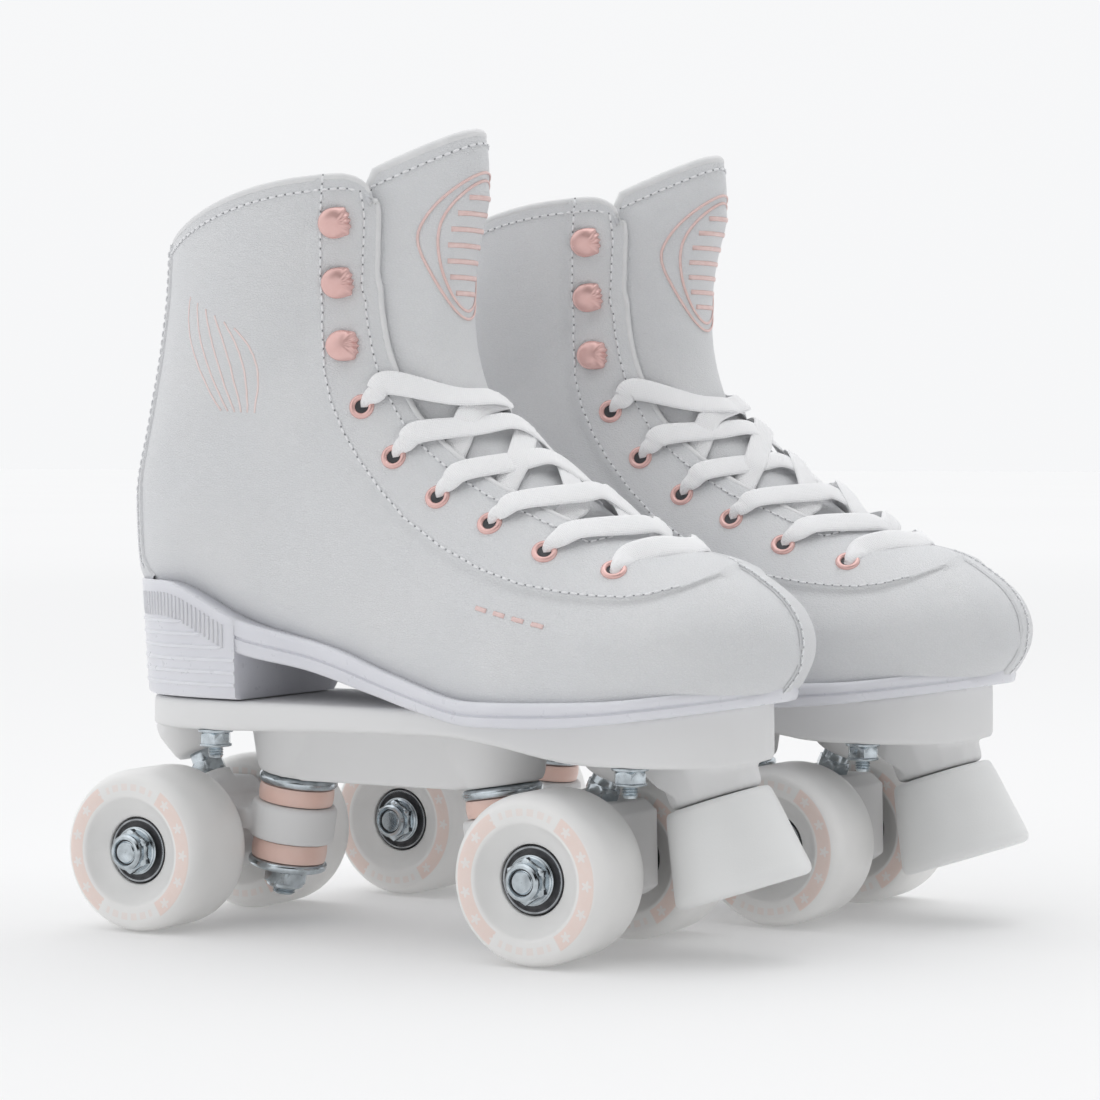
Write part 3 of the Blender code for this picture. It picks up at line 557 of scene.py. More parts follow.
def seam_q(s):
    """Where the ring crosses the seam, or 0 in front of it."""
    gx, gz, fx, fz = ring_values(s)[:4]
    f, d = Vector((fx, fz)), Vector((gx - fx, gz - fz))
    best = 0.0
    for a, b in zip(SEAM, SEAM[1:]):
        e = Vector((b[0] - a[0], b[1] - a[1]))
        det = d.x * -e.y + e.x * d.y
        if abs(det) < 1e-9:
            continue
        w = Vector((a[0] - f.x, a[1] - f.y))
        u = (w.x * -e.y + e.x * w.y) / det
        t = (d.x * w.y - d.y * w.x) / det
        if -1e-6 <= t <= 1 + 1e-6 and 0 <= u <= 1:
            waist, ridge = ring_values(s)[5], ring_values(s)[7]
            low, high = 0.0, 1.0
            for _ in range(30):
                q = (low + high) / 2
                low, high = (q, high) if front_part(q, waist, ridge)[1] < u else (low, q)
            best = q
    return best


def throat_q(s):
    width = ring_values(s)[4]
    return asin(min(0.95, throat_half(s) / width)) * 2 / pi


STEP = 0.9                 # thickness of the facing over the vamp


def upper_lift(s, q, side):
    """How far the surface stands out for the facing."""
    seam = seam_q(s)
    lift = 0.0
    if seam > 0.02:
        lift = STEP * (1 - smooth_step(q, seam - 0.004, seam + 0.004)) * smooth_step(seam, 0.02, 0.12)
    return lift


def lifted(s, q, side, more=0.0):
    return on_surface(s, q, side, upper_lift(s, q, side) + more)


SCAN = [(s / 10, q / 40) for s in range(-8, 181) for q in range(2, 79)]
SCAN_POINTS = [surface(s, q, -1) for s, q in SCAN]


def locate(x, z):
    """Ring and place on it of the side's point at x, z."""
    best = min(range(len(SCAN)), key=lambda i: (SCAN_POINTS[i].x - x) ** 2 + (SCAN_POINTS[i].z - z) ** 2)
    s, q = SCAN[best]
    for size in (0.05, 0.02, 0.008, 0.003):
        options = [(min(LAST, s + a * size * 2), min(2.0, max(0.0, q + b * size))) for a in range(-2, 3)
                   for b in range(-2, 3)]
        s, q = min(options, key=lambda o: (surface(*o, -1).x - x) ** 2 + (surface(*o, -1).z - z) ** 2)
    return s, q


def tube(shape, points, radius, segments=10, slot=0, closed=False, flat=1.0, ups=None):
    n = len(points)
    rows, up = [], None
    for j, p in enumerate(points):
        a = points[(j - 1) % n] if closed else points[max(j - 1, 0)]
        b = points[(j + 1) % n] if closed else points[min(j + 1, n - 1)]
        d = (b - a).normalized()
        if ups:
            up = ups[j]
        elif up is None:
            up = Vector((0, 0, 1)) if abs(d.z) < 0.9 else Vector((1, 0, 0))
        up = (up - d * up.dot(d)).normalized()
        side = d.cross(up)
        r = radius(j / (n - 1)) if callable(radius) else radius
        rows.append([p + side * (cos(2 * pi * i / segments) * r) + up
                     * (sin(2 * pi * i / segments) * r * flat)
                     for i in range(segments)])
    if closed:
        rows.append(rows[0])
    shape.grid(rows, wrap=True, caps=not closed, slot=slot)


def resample(points, normals, pitch):
    """Evenly spaced (point, normal, tangent) along a polyline."""
    out, gone, goal = [], 0.0, pitch / 2
    for (a, b), (m, n) in zip(zip(points, points[1:]), zip(normals, normals[1:])):
        d = (b - a).length
        while d > 1e-9 and gone + d >= goal:
            t = (goal - gone) / d
            out.append((a.lerp(b, t), m.lerp(n, t).normalized(), (b - a).normalized()))
            goal += pitch
        gone += d
    return out


def stitches(thread, hole_shade_dots, points, normals, pitch=3.0, length=2.3, radius=0.42):
    for p, n, d in resample(points, normals, pitch):
        side = d.cross(n).normalized()
        rows = []
        for t, w, h in ((-0.5, 0.15, -0.3), (-0.42, 0.8, 0.15), (-0.2, 1.0, 0.45), (0.2, 1.0, 0.45),
                        (0.42, 0.8, 0.15), (0.5, 0.15, -0.3)):
            c = p + d * (t * length) + n * (h * radius)
            rows.append([c + side * (cos(a) * radius * w) + n * (sin(a) * radius * 0.8 * w)
                         for a in (0, pi / 3, 2 * pi / 3, pi, 4 * pi / 3, 5 * pi / 3)])
        thread.grid(rows, wrap=True, caps=True)
        # painted shade: a flat dark dot stands for the shade in each needle hole
        c = p + d * (pitch / 2) + n * 0.07
        base = len(hole_shade_dots.points)
        hole_shade_dots.points += [c + d * (cos(a) * 0.34) + side * (sin(a) * 0.27)
                         for a in (i * pi / 4 for i in range(8))]
        hole_shade_dots.faces.append(tuple(range(base, base + 8)))
        hole_shade_dots.slots.append(0)

# ---------------------------------------------------------------- upper

rows_at = [-0.995, -0.97, -0.93, -0.87, -0.8, -0.7, -0.6, -0.48, -0.36, -0.24, -0.12]
rows_at += [i * 0.15 for i in range(0, 121)]
rows_at = sorted(set(rows_at) | {OPEN_FROM + d
                                 for d in (0.0, 0.01, 0.03, 0.06, 0.1, 0.16, 0.22, 0.3, 0.38, 0.46, 0.54)})
rows_at = [s for i, s in enumerate(rows_at) if i == 0 or s - rows_at[i - 1] > 0.004]
upper = Shape()
for side in (-1, 1):
    rows = []
    for s in rows_at:
        start, seam = throat_q(s), max(0.3, seam_q(s))
        near = [start + (max(seam - 0.004, start) - start) * i / 14 for i in range(15)]
        far = [seam + 0.004 * (seam > 0) + (2 - seam - 0.004 * (seam > 0)) * (i / 30) for i in range(31)]
        rows.append([lifted(s, q, side) for q in near + far])
    upper.grid(rows, flip=side > 0)
mesh = to_mesh("upper", upper, [LEATHER, LINING, EDGE], closed=True)
mesh = modified(mesh, ("SOLIDIFY",
                       dict(thickness=0.0024, offset=-1, material_offset=1, material_offset_rim=2)))
pair("boot_upper_leather", mesh, "{side}_skate", ["{side}_boot_upper"])

# folded edge along the throat and the top
ups, edge = [], []
climb = [OPEN_FROM + (LAST - OPEN_FROM) * (i / 120) ** 1.4 for i in range(121)]
for side, order in ((-1, 1), (1, -1)):
    part = [(s, throat_q(s)) for s in climb] + [(LAST, throat_q(LAST) + (2 - throat_q(LAST)) * i / 70)
                                                for i in range(1, 71)]
    for s, q in part[::order]:
        if edge and (lifted(s, q, side, -1.1) - edge[-1]).length < 0.25:
            continue
        edge.append(lifted(s, q, side, -1.1))
        ups.append(normal_at(s, q, side))
rim = Shape()
tube(rim, edge, 1.35, 12, ups=ups)
pair("boot_upper_rim", to_mesh("rim", rim, [EDGE]), "{side}_skate")

# strip down the back
strip = Shape()
columns = [(1.595, 0.0), (1.598, 0.75), (1.61, 0.95)] + [(1.61 + 0.39 * i / 12, 0.95) for i in range(1, 13)]
rows = []
for i in range(61):
    s = 12.0 + 5.94 * i / 60
    rows.append([lifted(s, q, -1, h) for q, h in columns] + [lifted(s, q, 1, h) for q, h in columns[-2::-1]])
strip.grid(rows)
mesh = to_mesh("strip", strip, [LEATHER])
pair("boot_back_strip", mesh, "{side}_skate")

# strip over the toe
def toe_row(s, low, half, lift):
    width = max(0.2, surface(s, 1.0, 1).y)
    row = []
    for i in range(-4, 5):
        y = half * i / 4
        v = min(0.97, abs(y) / width)
        square = ring_values(s)[6]
        q = 2 - asin(v ** (square / 2)) * 2 / pi if low else asin(v) * 2 / pi
        row.append(on_surface(s, q, -1 if y < 0 else 1, lift if abs(i) < 4 else 0.1))
    return row

toe = Shape()
toe_rows = [toe_row(2.15 - 2.95 * i / 40, False, 0.5 + 2.8 * smooth_step(i, 0, 6), 0.75) for i in range(41)]
toe_rows += [toe_row(-0.8 + 0.9 * i / 8, True, 3.3, 0.75) for i in range(9)]
toe.grid(toe_rows)
pair("boot_toe_strip", to_mesh("toe_strip", toe, [LEATHER]), "{side}_skate")

# ---------------------------------------------------------------- tongue

BULGE = [(3, -3.8), (4, -3.8), (5, -1.5), (6, 2.4), (7, 5.0), (8, 18.0), (9, 30.5), (10, 34.5), (11, 32.5),
         (12, 30.5),
         (13, 29.0), (14, 27.0), (15, 25.5), (16, 24.0), (17, 22.8), (18, 21.5)]


def tongue_point(s, t, inset=3.6):
    """t runs from -1 to 1 across the throat, and on a little way under the upper."""
    gx, gz, fx, fz = ring_values(s)[:4]
    f = Vector((fx, 0, fz))
    axis = (Vector((gx, 0, gz)) - f).normalized()
    side, a = (-1 if t < 0 else 1), abs(t)
    q0 = max(0.08, asin(min(0.95, lerp_table(TONGUE, s)[0] / ring_values(s)[4])) * 2 / pi)
    if a > 1:
        q = q0 + (a - 1) * 0.5
        p = surface(s, q, side, inset)
    else:
        p = surface(s, q0, side, inset)
        middle = -curve_table(BULGE, s)[0] + inset - 3.6
        u = middle + ((p - f).dot(axis) - middle) * a ** 2.2
        p = f + axis * u + Vector((0, side * a * abs(p.y), 0))
    rise = 10 * smooth_step(s, 16.6, 18.0) * (1 - 1.3 * min(1.0, abs(p.y) / 26) ** 2)
    return p + Vector((0, 0, rise))


def tongue_normal(s, t):
    e = 0.03
    a = tongue_point(min(s + e, 18), t) - tongue_point(s - e, t)
    b = tongue_point(s, min(t + e, 1.29)) - tongue_point(s, max(t - e, -1.29))
    n = a.cross(b).normalized()
    return n if n.x + n.z > 0 else -n


tongue = Shape()
across = [-1.3 + 2.6 * i / 44 for i in range(45)]
tongue.grid([[tongue_point(3.2 + 14.8 * j / 110, t) for t in across] for j in range(111)])
mesh = to_mesh("tongue", tongue, [LEATHER, LINING, EDGE])
# the solid grows inwards, away from the laces
mesh = modified(mesh, ("SOLIDIFY",
                       dict(thickness=0.0032, offset=-1, material_offset=1, material_offset_rim=2)))
pair("tongue_leather", mesh, "{side}_skate", ["{side}_tongue"])
top = [tongue_point(18, t) - tongue_normal(18, t) * 1.5 for t in across]
rim = Shape()
tube(rim, top, 1.9, 12)
pair("tongue_rim", to_mesh("tongue_rim", rim, [EDGE]), "{side}_skate")

# ---------------------------------------------------------------- stitching

thread, hole_shade_dots = Shape(), Shape()


def along_surface(pairs, side, more=0.12):
    return [lifted(s, q, side, more) for s, q in pairs], [normal_at(s, q, side) for s, q in pairs]


def level_below(q, side, drop):
    """Ring at which the surface lies this far below the rim."""
    goal = surface(LAST, q, side).z - drop
    return last_below(14.0, LAST, lambda s: surface(s, q, side).z < goal)


for side in (-1, 1):
    rear = [(s, seam_q(s) - 0.028) for s in (2.35 + 15.6 * i / 300 for i in range(301)) if seam_q(s) > 0.09]
    stitches(thread, hole_shade_dots, *along_surface(rear, side))
    front = [(s, throat_q(s) + 0.07) for s in (4.0 + 13.2 * i / 200 for i in range(201))]
    stitches(thread, hole_shade_dots, *along_surface(front, side))
    collar = []
    for i in range(90):
        q = throat_q(LAST) + 0.08 + (1.59 - throat_q(LAST) - 0.08) * i / 89
        collar.append((level_below(q, side, 3.9), q))
    stitches(thread, hole_shade_dots, *along_surface(collar, side))
    back = [(12.5 + 5.3 * i / 80, 1.632) for i in range(81)]
    pts = [lifted(s, q, side, 1.05) for s, q in back]
    stitches(thread, hole_shade_dots, pts, [normal_at(s, q, side) for s, q in back])
pts = [row[1] for row in toe_rows]
norms = [(normal_at(2.15 - 2.95 * i / 40, 0.05, -1)) for i in range(41)] + [Vector((1, 0, 0))] * 9
stitches(thread, hole_shade_dots, [p + n * 0.1 for p, n in zip(pts, norms)], norms, 2.8, 2.0)
pts, norms = [], []
for i in range(80):
    t = -1.15 + 2.3 * i / 79
    goal = tongue_point(18, t).z - 4.2
    s = last_below(13.0, LAST, lambda s: tongue_point(s, t).z < goal)
    pts.append(tongue_point(s, t) + tongue_normal(s, t) * 0.15)
    norms.append(tongue_normal(s, t))
stitches(thread, hole_shade_dots, pts, norms)
# bar tacks at the throat's end
for s in (3.3, 3.05):
    pts = [on_surface(s, q, side, 0.45) for side, q in [(-1, 0.12 * (5 - i) / 5) for i in range(5)]
           + [(1, 0.12 * i / 5) for i in range(6)]]
    tube(thread, pts, 0.75, 8)
for name, shape, mat in (("stitching", thread, THREAD), ("needle_hole_shade", hole_shade_dots, HOLE_SHADE)):
    pair("boot_" + name, to_mesh(name, shape, [mat], closed=name == "stitching"), "{side}_skate")

# ---------------------------------------------------------------- eyelets and hooks

EYELETS = [(96.6, 123.6), (73.9, 129.1), (53.3, 137.9), (33.2, 146.2), (15.7, 159.2), (2.9, 175.7)]
HOOKS = [(-5.0, 195.6), (-7.1, 216.6), (-6.3, 236)]
eyelet_at = [locate(x, z) for x, z in EYELETS]
eyelets, hooks = Shape(), Shape()
for side in (-1, 1):
    for s, q in eyelet_at:
        n = normal_at(s, q, side)
        p = lifted(s, q, side)
        eyelets.lathe([(2.2, -0.6), (2.25, 0.25), (2.6, 0.75), (3.15, 1.0), (3.7, 0.82), (4.1, 0.38),
                       (4.2, 0.0), (4.1, -0.3)],
                      p, n, 40, closed=True)
        # painted shade: a dark disc fills the eyelet's hole
        eyelets.lathe([(0.02, 0.05), (2.3, 0.05), (2.3, -0.2), (0.02, -0.2)], p, n, 24, slot=1)
    for x, z in HOOKS:
        s, q = locate(x, z)
        n, p = normal_at(s, q, side), lifted(s, q, side)
        forward = Vector((1, 0, 0.06))
        forward = (forward - n * forward.dot(n)).normalized()
        rise = n.cross(forward)
        rise = rise if rise.z > 0 else -rise

        def reach(a):
            """Outline: round behind, squared and scalloped in front."""
            if cos(a) < 0:
                return 5.1
            square = 1 / (abs(cos(a)) ** 3.4 + abs(sin(a)) ** 3.4) ** (1 / 3.4)
            front = max(0.0, cos(a)) ** 1.5
            return 5.1 * square + 0.5 * front - 0.75 * front * (0.5 - 0.5 * cos(5.5 * sin(a) * pi))

        rows = []
        for f, h in ((1.0, 1.25), (1.03, 1.6), (1.01, 2.0), (0.94, 2.45), (0.82, 2.85), (0.62, 3.25),
                     (0.36, 3.5), (0.12, 3.6)):
            row = []
            for i in range(64):
                a = 2 * pi * i / 64
                fold = max(0.0, cos(a)) ** 1.2 * f ** 3
                crimp = 0.42 * fold * cos(5.5 * sin(a) * pi)
                row.append(p + forward * (cos(a) * reach(a) * f) + rise * (sin(a) * reach(a) * f * 0.97)
                           + n * (h - 1.5 * fold + crimp))
            rows.append(row)
        under = [[v - n * 0.7 for v in row] for row in rows]
        hooks.grid(under[::-1][:-1] + rows, wrap=True, caps=True)
        hooks.lathe([(0.02, -0.4), (4.4, -0.4), (4.5, 0.2), (4.0, 0.5), (2.3, 0.75), (2.0, 2.6), (0.02, 2.6)],
                    p - forward * 0.7, n, 32)
pair("eyelets", to_mesh("eyelets", eyelets, [PINK, SHIELD_AND_EYELET_SHADE], sharp=50), "{side}_skate")
pair("hooks", to_mesh("hooks", hooks, [PINK], sharp=60), "{side}_skate")

# ---------------------------------------------------------------- marks: plain stand-ins

marks, prints = Shape(), Shape()
EMBLEM_Z = 229             # middle of the tongue's ring emblem


def surface_line(shape, points, width, lift):
    """A thin raised line over the outer side's points (x, z)."""
    found = [locate(x, z) for x, z in points]
    tube(shape, [lifted(s, q, -1, lift) for s, q in found], width, 6, flat=0.35,
         ups=[normal_at(s, q, -1) for s, q in found])


for k in range(6):      # soft curved lines at the ankle
    line = []
    for i in range(17):
        share = i / 16
        bow = sin(pi * share)
        line.append((-60 + 3.8 * k + (12 - 1.2 * k) * share ** 1.3 - 4.5 * bow * (1 - k / 2.5),
                     213 - 2.2 * k + 3 * bow - (38 - 2.0 * k) * share))
    surface_line(prints, line, 0.38, 0.0)
for k in range(4):      # a row of plain dashes under the lacing
    x, z = 55.0 + 7.0 * k, 112.0 - 1.5 * k
    surface_line(marks, [(x + 4.2 * i / 6, z - 0.9 * i / 6) for i in range(7)], 0.75, 0.1)


def on_tongue(dy, z, lift):
    """Point and normal of the tongue's face, dy off its middle at height z."""
    t = dy / 22
    s = last_below(5.0, LAST, lambda s: tongue_point(s, t).z < z)
    return tongue_point(s, t) + tongue_normal(s, t) * lift, tongue_normal(s, t)


for rx, rz in ((16.5, 24.0), (14.0, 21.3)):
    found = [on_tongue(rx * sin(2 * pi * i / 72), EMBLEM_Z + rz * cos(2 * pi * i / 72), 0.25)
             for i in range(72)]
    tube(marks, [p for p, _ in found], 0.5 if rx > 12 else 0.3, 6, closed=True, ups=[n for _, n in found],
         flat=0.6)
for k in range(7):      # plain bars inside the ring
    z = EMBLEM_Z + (k - 3) * 5.2
    half = 12.0 * sqrt(max(0.0, 1 - ((z - EMBLEM_Z) / 19.6) ** 2))
    found = [on_tongue(-half + 2 * half * i / 12, z, 0.12) for i in range(13)]
    tube(marks, [p for p, _ in found], 0.85, 6, ups=[n for _, n in found], flat=0.4)
pair("emblem_marks", to_mesh("marks", marks, [EMBOSS]), "{side}_skate")
PRINT = plain("faint_print", (0.84, 0.69, 0.665), (0.85, 0.72, 0.70), 0.48, 0.3, 2.0, 0.00005)
pair("ankle_marks", to_mesh("prints", prints, [PRINT]), "{side}_skate")

# ---------------------------------------------------------------- laces

# by row, from the front: points the lace passes between its eyelet and the middle,
# as (x, distance from the middle, z)
PASSES = [[(98.9, 22, 128.8), (105.4, 14, 131.5), (110.5, 5, 131.4)],
          [(93.0, 12, 137.4), (97.5, 3, 136.6)],
          [(74.3, 12, 147.4), (80.5, 3, 146.6)],
          [(52.3, 12, 157.6), (61.0, 3, 158.0)],
          [(37.5, 12, 169.2), (47.5, 3, 169.8)],
          [(29.5, 13, 179.0), (38.5, 3, 178.2)]]


def passing(row, side, layer=0.0):
    out = []
    for x, y, z in PASSES[row]:
        tilt = 0.05 + 0.04 * y
        n = Vector((0.6 * cos(tilt), side * sin(tilt), 0.8 * cos(tilt)))
        out.append((Vector((x, side * y, z)) + n * layer * (1 - y / 26), n))
    return out


laces = Shape()


def ribbon(stations, start_narrow=True, end_narrow=False, width=8.3, thickness=1.25):
    """stations are (point, normal); the lace is pinched where it passes an eyelet."""
    pts, norms = spline([p for p, _ in stations], 10), spline([n for _, n in stations], 10)
    lengths = [0.0]
    for a, b in zip(pts, pts[1:]):
        lengths.append(lengths[-1] + (b - a).length)
    total = lengths[-1]
    rows = []
    for j, p in enumerate(pts):
        a, b = pts[max(j - 1, 0)], pts[min(j + 1, len(pts) - 1)]
        d = (b - a).normalized()
        up = norms[j].normalized()
        side = d.cross(up).normalized()
        up = side.cross(d).normalized()
        pinch = 1.0
        if start_narrow:
            pinch = min(pinch, 0.5 + 0.5 * smooth_step(lengths[j], 1.0, 12.0))
        if end_narrow:
            pinch = min(pinch, 0.5 + 0.5 * smooth_step(total - lengths[j], 1.0, 12.0))
        w, h = width / 2 * pinch, thickness / 2 * (1 + 0.9 * (1 - pinch))
        fold = 2.6 * (1 - pinch)
        row = []
        for i in range(20):
            a = 2 * pi * i / 20
            x = abs(cos(a)) ** 0.7 * (1 if cos(a) > 0 else -1)
            y = abs(sin(a)) ** 0.6 * (1 if sin(a) > 0 else -1)
            ridge = 0.14 * h * cos(3 * pi * x) * (y > 0)
            row.append(p + side * (x * w) + up * (y * h + ridge - fold * x * x + 0.35 * (1 - x * x)))
            laces.ribbon.append((lengths[j], x * width / 2, 0.0))
        rows.append(row)
    laces.grid(rows, wrap=True, caps=True)


def eyelet(row, side, depth):
    s, q = eyelet_at[row]
    n = normal_at(s, q, side)
    return lifted(s, q, side, depth), n


def under_facing(row, side):
    """The far end of a pass: down over the tongue and in under the facing."""
    low = min(int(row), 4)
    s = eyelet_at[low][0] + (eyelet_at[low + 1][0] - eyelet_at[low][0]) * (row - low) - 0.25
    out = [(tongue_point(s, side * t) + tongue_normal(s, side * t) * lift, tongue_normal(s, side * t))
           for t, lift in ((0.55, 2.2), (0.9, 1.1))]
    q = throat_q(s) + 0.1
    return out + [(on_surface(s, q, side, -3.2), normal_at(s, q, side))]


def over_facing(row, side):
    """From the eyelet out over the facing to its front edge."""
    s, q = eyelet_at[row]
    out = [(eyelet(row, side, -1.6)[0], normal_at(s, q, side)),
           (lifted(s - 0.05, q - 0.035, side, 1.5), normal_at(s, q, side))]
    for back, share, lift in ((0.16, 0.42, 2.2), (0.36, 0.85, 2.4)):
        t = max(OPEN_FROM + 0.3, s - back)
        at = q + (throat_q(t) + 0.02 - q) * share
        out.append((lifted(t, at, side, lift), normal_at(t, at, side)))
    return out


for row in range(1, 6):
    for side, layer in ((1, 0.0), (-1, 1.4)):
        ribbon(over_facing(row, side) + passing(row, side, layer) + under_facing(max(0.0, row - 1.7), -side))
# the first pass, straight across at the front
stations = []
for side in (-1, 1):
    n = eyelet(0, side, 0)[1]
    part = [(eyelet(0, side, -1.6)[0], n),
            (eyelet(0, side, 1.4)[0] + Vector((0.4, -side * 0.8, 0)), n)] + passing(0, side)
    stations += part + [(Vector((111.5, 0, 131.8)), Vector((0.5, 0, 0.86)))] if side < 0 else part[::-1]
ribbon(stations, end_narrow=True)
mesh = to_mesh("laces", laces, [LACE])
pair("lace_ribbon", mesh, "{side}_skate", ["{side}_laces"])

# ---------------------------------------------------------------- outsole

PLAN = [(-96.2, 4.0), (-95.4, 10.5), (-93.0, 16.0), (-89.0, 21.5), (-81.0, 28.3), (-70.0, 33.0),
        (-58.0, 35.4), (-44.0, 36.6), (-40.0, 36.8),
        (-14.0, 37.5), (14.0, 40.5), (34.0, 43.2), (54.0, 46.0), (76.0, 47.6), (96.0, 46.6), (110.0, 43.0),
        (121.0, 37.0),
        (130.0, 29.0), (137.0, 20.0), (141.0, 12.0), (142.6, 5.0)]
WAIST = [(-41.0, 94.2), (-40.0, 93.8), (-14.0, 89.6), (14.0, 82.6), (34.0, 77.6), (54.0, 74.2), (76.0, 74.6),
         (96.0, 76.2),
         (114.0, 78.6), (127.0, 80.4), (136.0, 81.8), (142.6, 82.8)]


HEEL_FOOT = 78.7           # underside of the heel, on the plate


def sole_top(x):
    return curve_table(FEATHER, x)[0] + 1.0


def sole_profile(x, w, low, ribs, chamfer):
    """Half of a section, from the bottom's middle out and up to the top's middle: (outward, z)."""
    top = sole_top(x)
    out = [(0.0, low), (max(0.3, w - 3.0), low), (max(0.5, w - 0.9), low + 0.25), (w - 0.15, low + 1.0)]
    if ribs:
        for k in range(7):
            z = 83.6 + 4.15 * k
            shown = z < top - 11.9          # a rib that would run into the upper band flattens out
            z = z if shown else top - 11 + 0.05 * k
            flare = 0.8 * (z - low) / (top - low)
            for dz, lift in ((-0.75, 0.0), (-0.35, 0.5), (0.35, 0.5), (0.75, 0.0)):
                out.append((w + flare + lift * shown, z + dz * (1 if shown else 0.01)))
    else:
        mid = low + (top - low) * 0.47
        for dz, lift in ((-0.55, 0.25), (-0.15, -0.35), (0.35, -0.35), (0.7, 0.45)):
            out.append((w + lift, mid + dz))
    out += [(w + 0.8, top - 2.6), (w + 1.1, top - 1.6), (w + 0.9, top - 0.5), (w + 0.1, top),
            (max(0.2, w - 2.5), top - 0.4), (0.0, top - 0.6)]
    if chamfer:
        out = [(min(a, max(0.0, w - max(0.0, 92.5 - z) * 0.95)), z) for a, z in out]
    return out


def sole_part(xs, ribs):
    shape = Shape()
    rings = []
    for x in xs:
        w = curve_table(PLAN, x)[0]
        low = HEEL_FOOT if ribs else curve_table(WAIST, x)[0]
        ring = []
        for side in (-1, 1):
            half = sole_profile(x, w, low, ribs, ribs and side > 0)
            pts = []
            for a, z in half:
                lean = (112 - z) * 0.055 if ribs else (z - 82) * 0.10 * smooth_step(x, 110, 142)
                pts.append(Vector((x + lean * (smooth_step(-x, 60, 92) if ribs else 1), side * a, z)))
            ring += pts[:-1] if side < 0 else pts[::-1][:-1]
        rings.append(ring)
    shape.grid(rings, wrap=True, caps=True)
    return shape


heel_x = [-96.2, -96.0, -95.7, -95.2, -94.4, -93.2, -91.6, -89.5,
          -87] + [-84 + i * 3.0 for i in range(14)] + [-43.2, -42.2, -41.6, -41.2]
front_x = [-41.2 + i * 4.0 for i in range(43)] + [129.5, 132, 134.5, 136.5, 138.2, 139.6, 140.8, 141.7, 142.3,
                                                  142.6]
heel, welt = sole_part(heel_x, True), sole_part(front_x, False)
mesh = to_mesh("heel", heel, [SOLE], sharp=40)
pair("outsole_heel", mesh, "{side}_skate", ["{side}_outsole"])
pair("outsole_welt", to_mesh("welt", welt, [SOLE], sharp=50), "{side}_skate",
     ["{side}_outsole"])
ribs = Shape()
for side in (-1, 1):
    for k in range(23):
        x = -88.0 + 1.9 * k
        w, top = curve_table(PLAN, x)[0], sole_top(x)
        slope = (curve_table(PLAN, x + 1)[0] - curve_table(PLAN, x - 1)[0]) / 2
        d, n = Vector((1, side * slope, 0)).normalized(), Vector((-slope, side, 0)).normalized()
        rows = []
        for z, h in ((top - 12.2, -0.4), (top - 11.9, 0.25), (top - 8, 0.42), (top - 4.5, 0.42),
                     (top - 4.1, 0.25), (top - 3.9, -0.4)):
            lean = (112 - z) * 0.055 * smooth_step(-x, 60, 92)
            c = Vector((x + lean, side * (w + 0.72 * (z - HEEL_FOOT) / (top - HEEL_FOOT)), z))
            rows.append([c - d * 0.5 - n * 0.5, c - d * 0.36 + n * h, c + d * 0.36 + n * h,
                         c + d * 0.5 - n * 0.5])
        ribs.grid(rows, wrap=True, caps=True)
pair("outsole_ribs", to_mesh("ribs", ribs, [SOLE]), "{side}_skate")

# ---------------------------------------------------------------- plate

DECK = [(-92.6, 4.0, 67.9), (-92.0, 8.5, 67.8), (-89.5, 15.0, 67.8), (-84.0, 22.5, 67.8), (-75.0, 29.5, 67.9),
        (-62.0, 34.0, 68.0),
        (-45.0, 36.2, 68.3), (0.0, 36.2, 69.6), (36.0, 36.6, 70.0), (58, 36.8, 67.6), (76.0, 37.0, 64.4),
        (88.0, 37.0, 63.0),
        (106.0, 35.7, 62.8), (119.0, 30.8, 62.8), (128.0, 22.5, 62.9), (132.0, 13.0, 63.0),
        (132.9, 5.0, 63.2)]
LEAN, PIVOT_LEAN, STOP_LEAN = radians(9), radians(24), radians(18.8)
AXLE_X, AXLE_Z = 76, 27.4   # axle in front of or behind the plate's middle, and above the floor
WHEEL_Y = 32.6             # middle of a wheel off the skate's middle plane


def kingpin(sign):
    return Vector((sign * 42.6, 0, 35)), Vector((sign * sin(LEAN), 0, -cos(LEAN)))


def pivot(sign):
    return Vector((sign * 82.2, 0, 62)), Vector((sign * sin(PIVOT_LEAN), 0, cos(PIVOT_LEAN)))


STOP_AT, STOP_DOWN = Vector((119, 0, 50.9)), Vector((sin(STOP_LEAN), 0, -cos(STOP_LEAN)))


def union(shapes, voxel, smooth, sharp=None):
    """One moulded skin over overlapping closed shapes, with soft inner corners."""
    whole = Shape()
    for s in shapes:
        mesh = to_mesh("part", s, [])
        base = len(whole.points)
        whole.points += [v.co / MM for v in mesh.vertices]
        whole.faces += [tuple(base + i for i in p.vertices) for p in mesh.polygons]
        whole.slots += [0] * len(mesh.polygons)
    mesh = bpy.data.meshes.new("union")
    mesh.from_pydata([p * MM for p in whole.points], [], whole.faces)
    mesh = modified(mesh, ("REMESH", dict(mode="VOXEL", voxel_size=voxel * MM, use_smooth_shade=True)),
                    ("SMOOTH", dict(factor=0.5, iterations=smooth)))
    mesh.polygons.foreach_set("use_smooth", [True] * len(mesh.polygons))
    return mesh


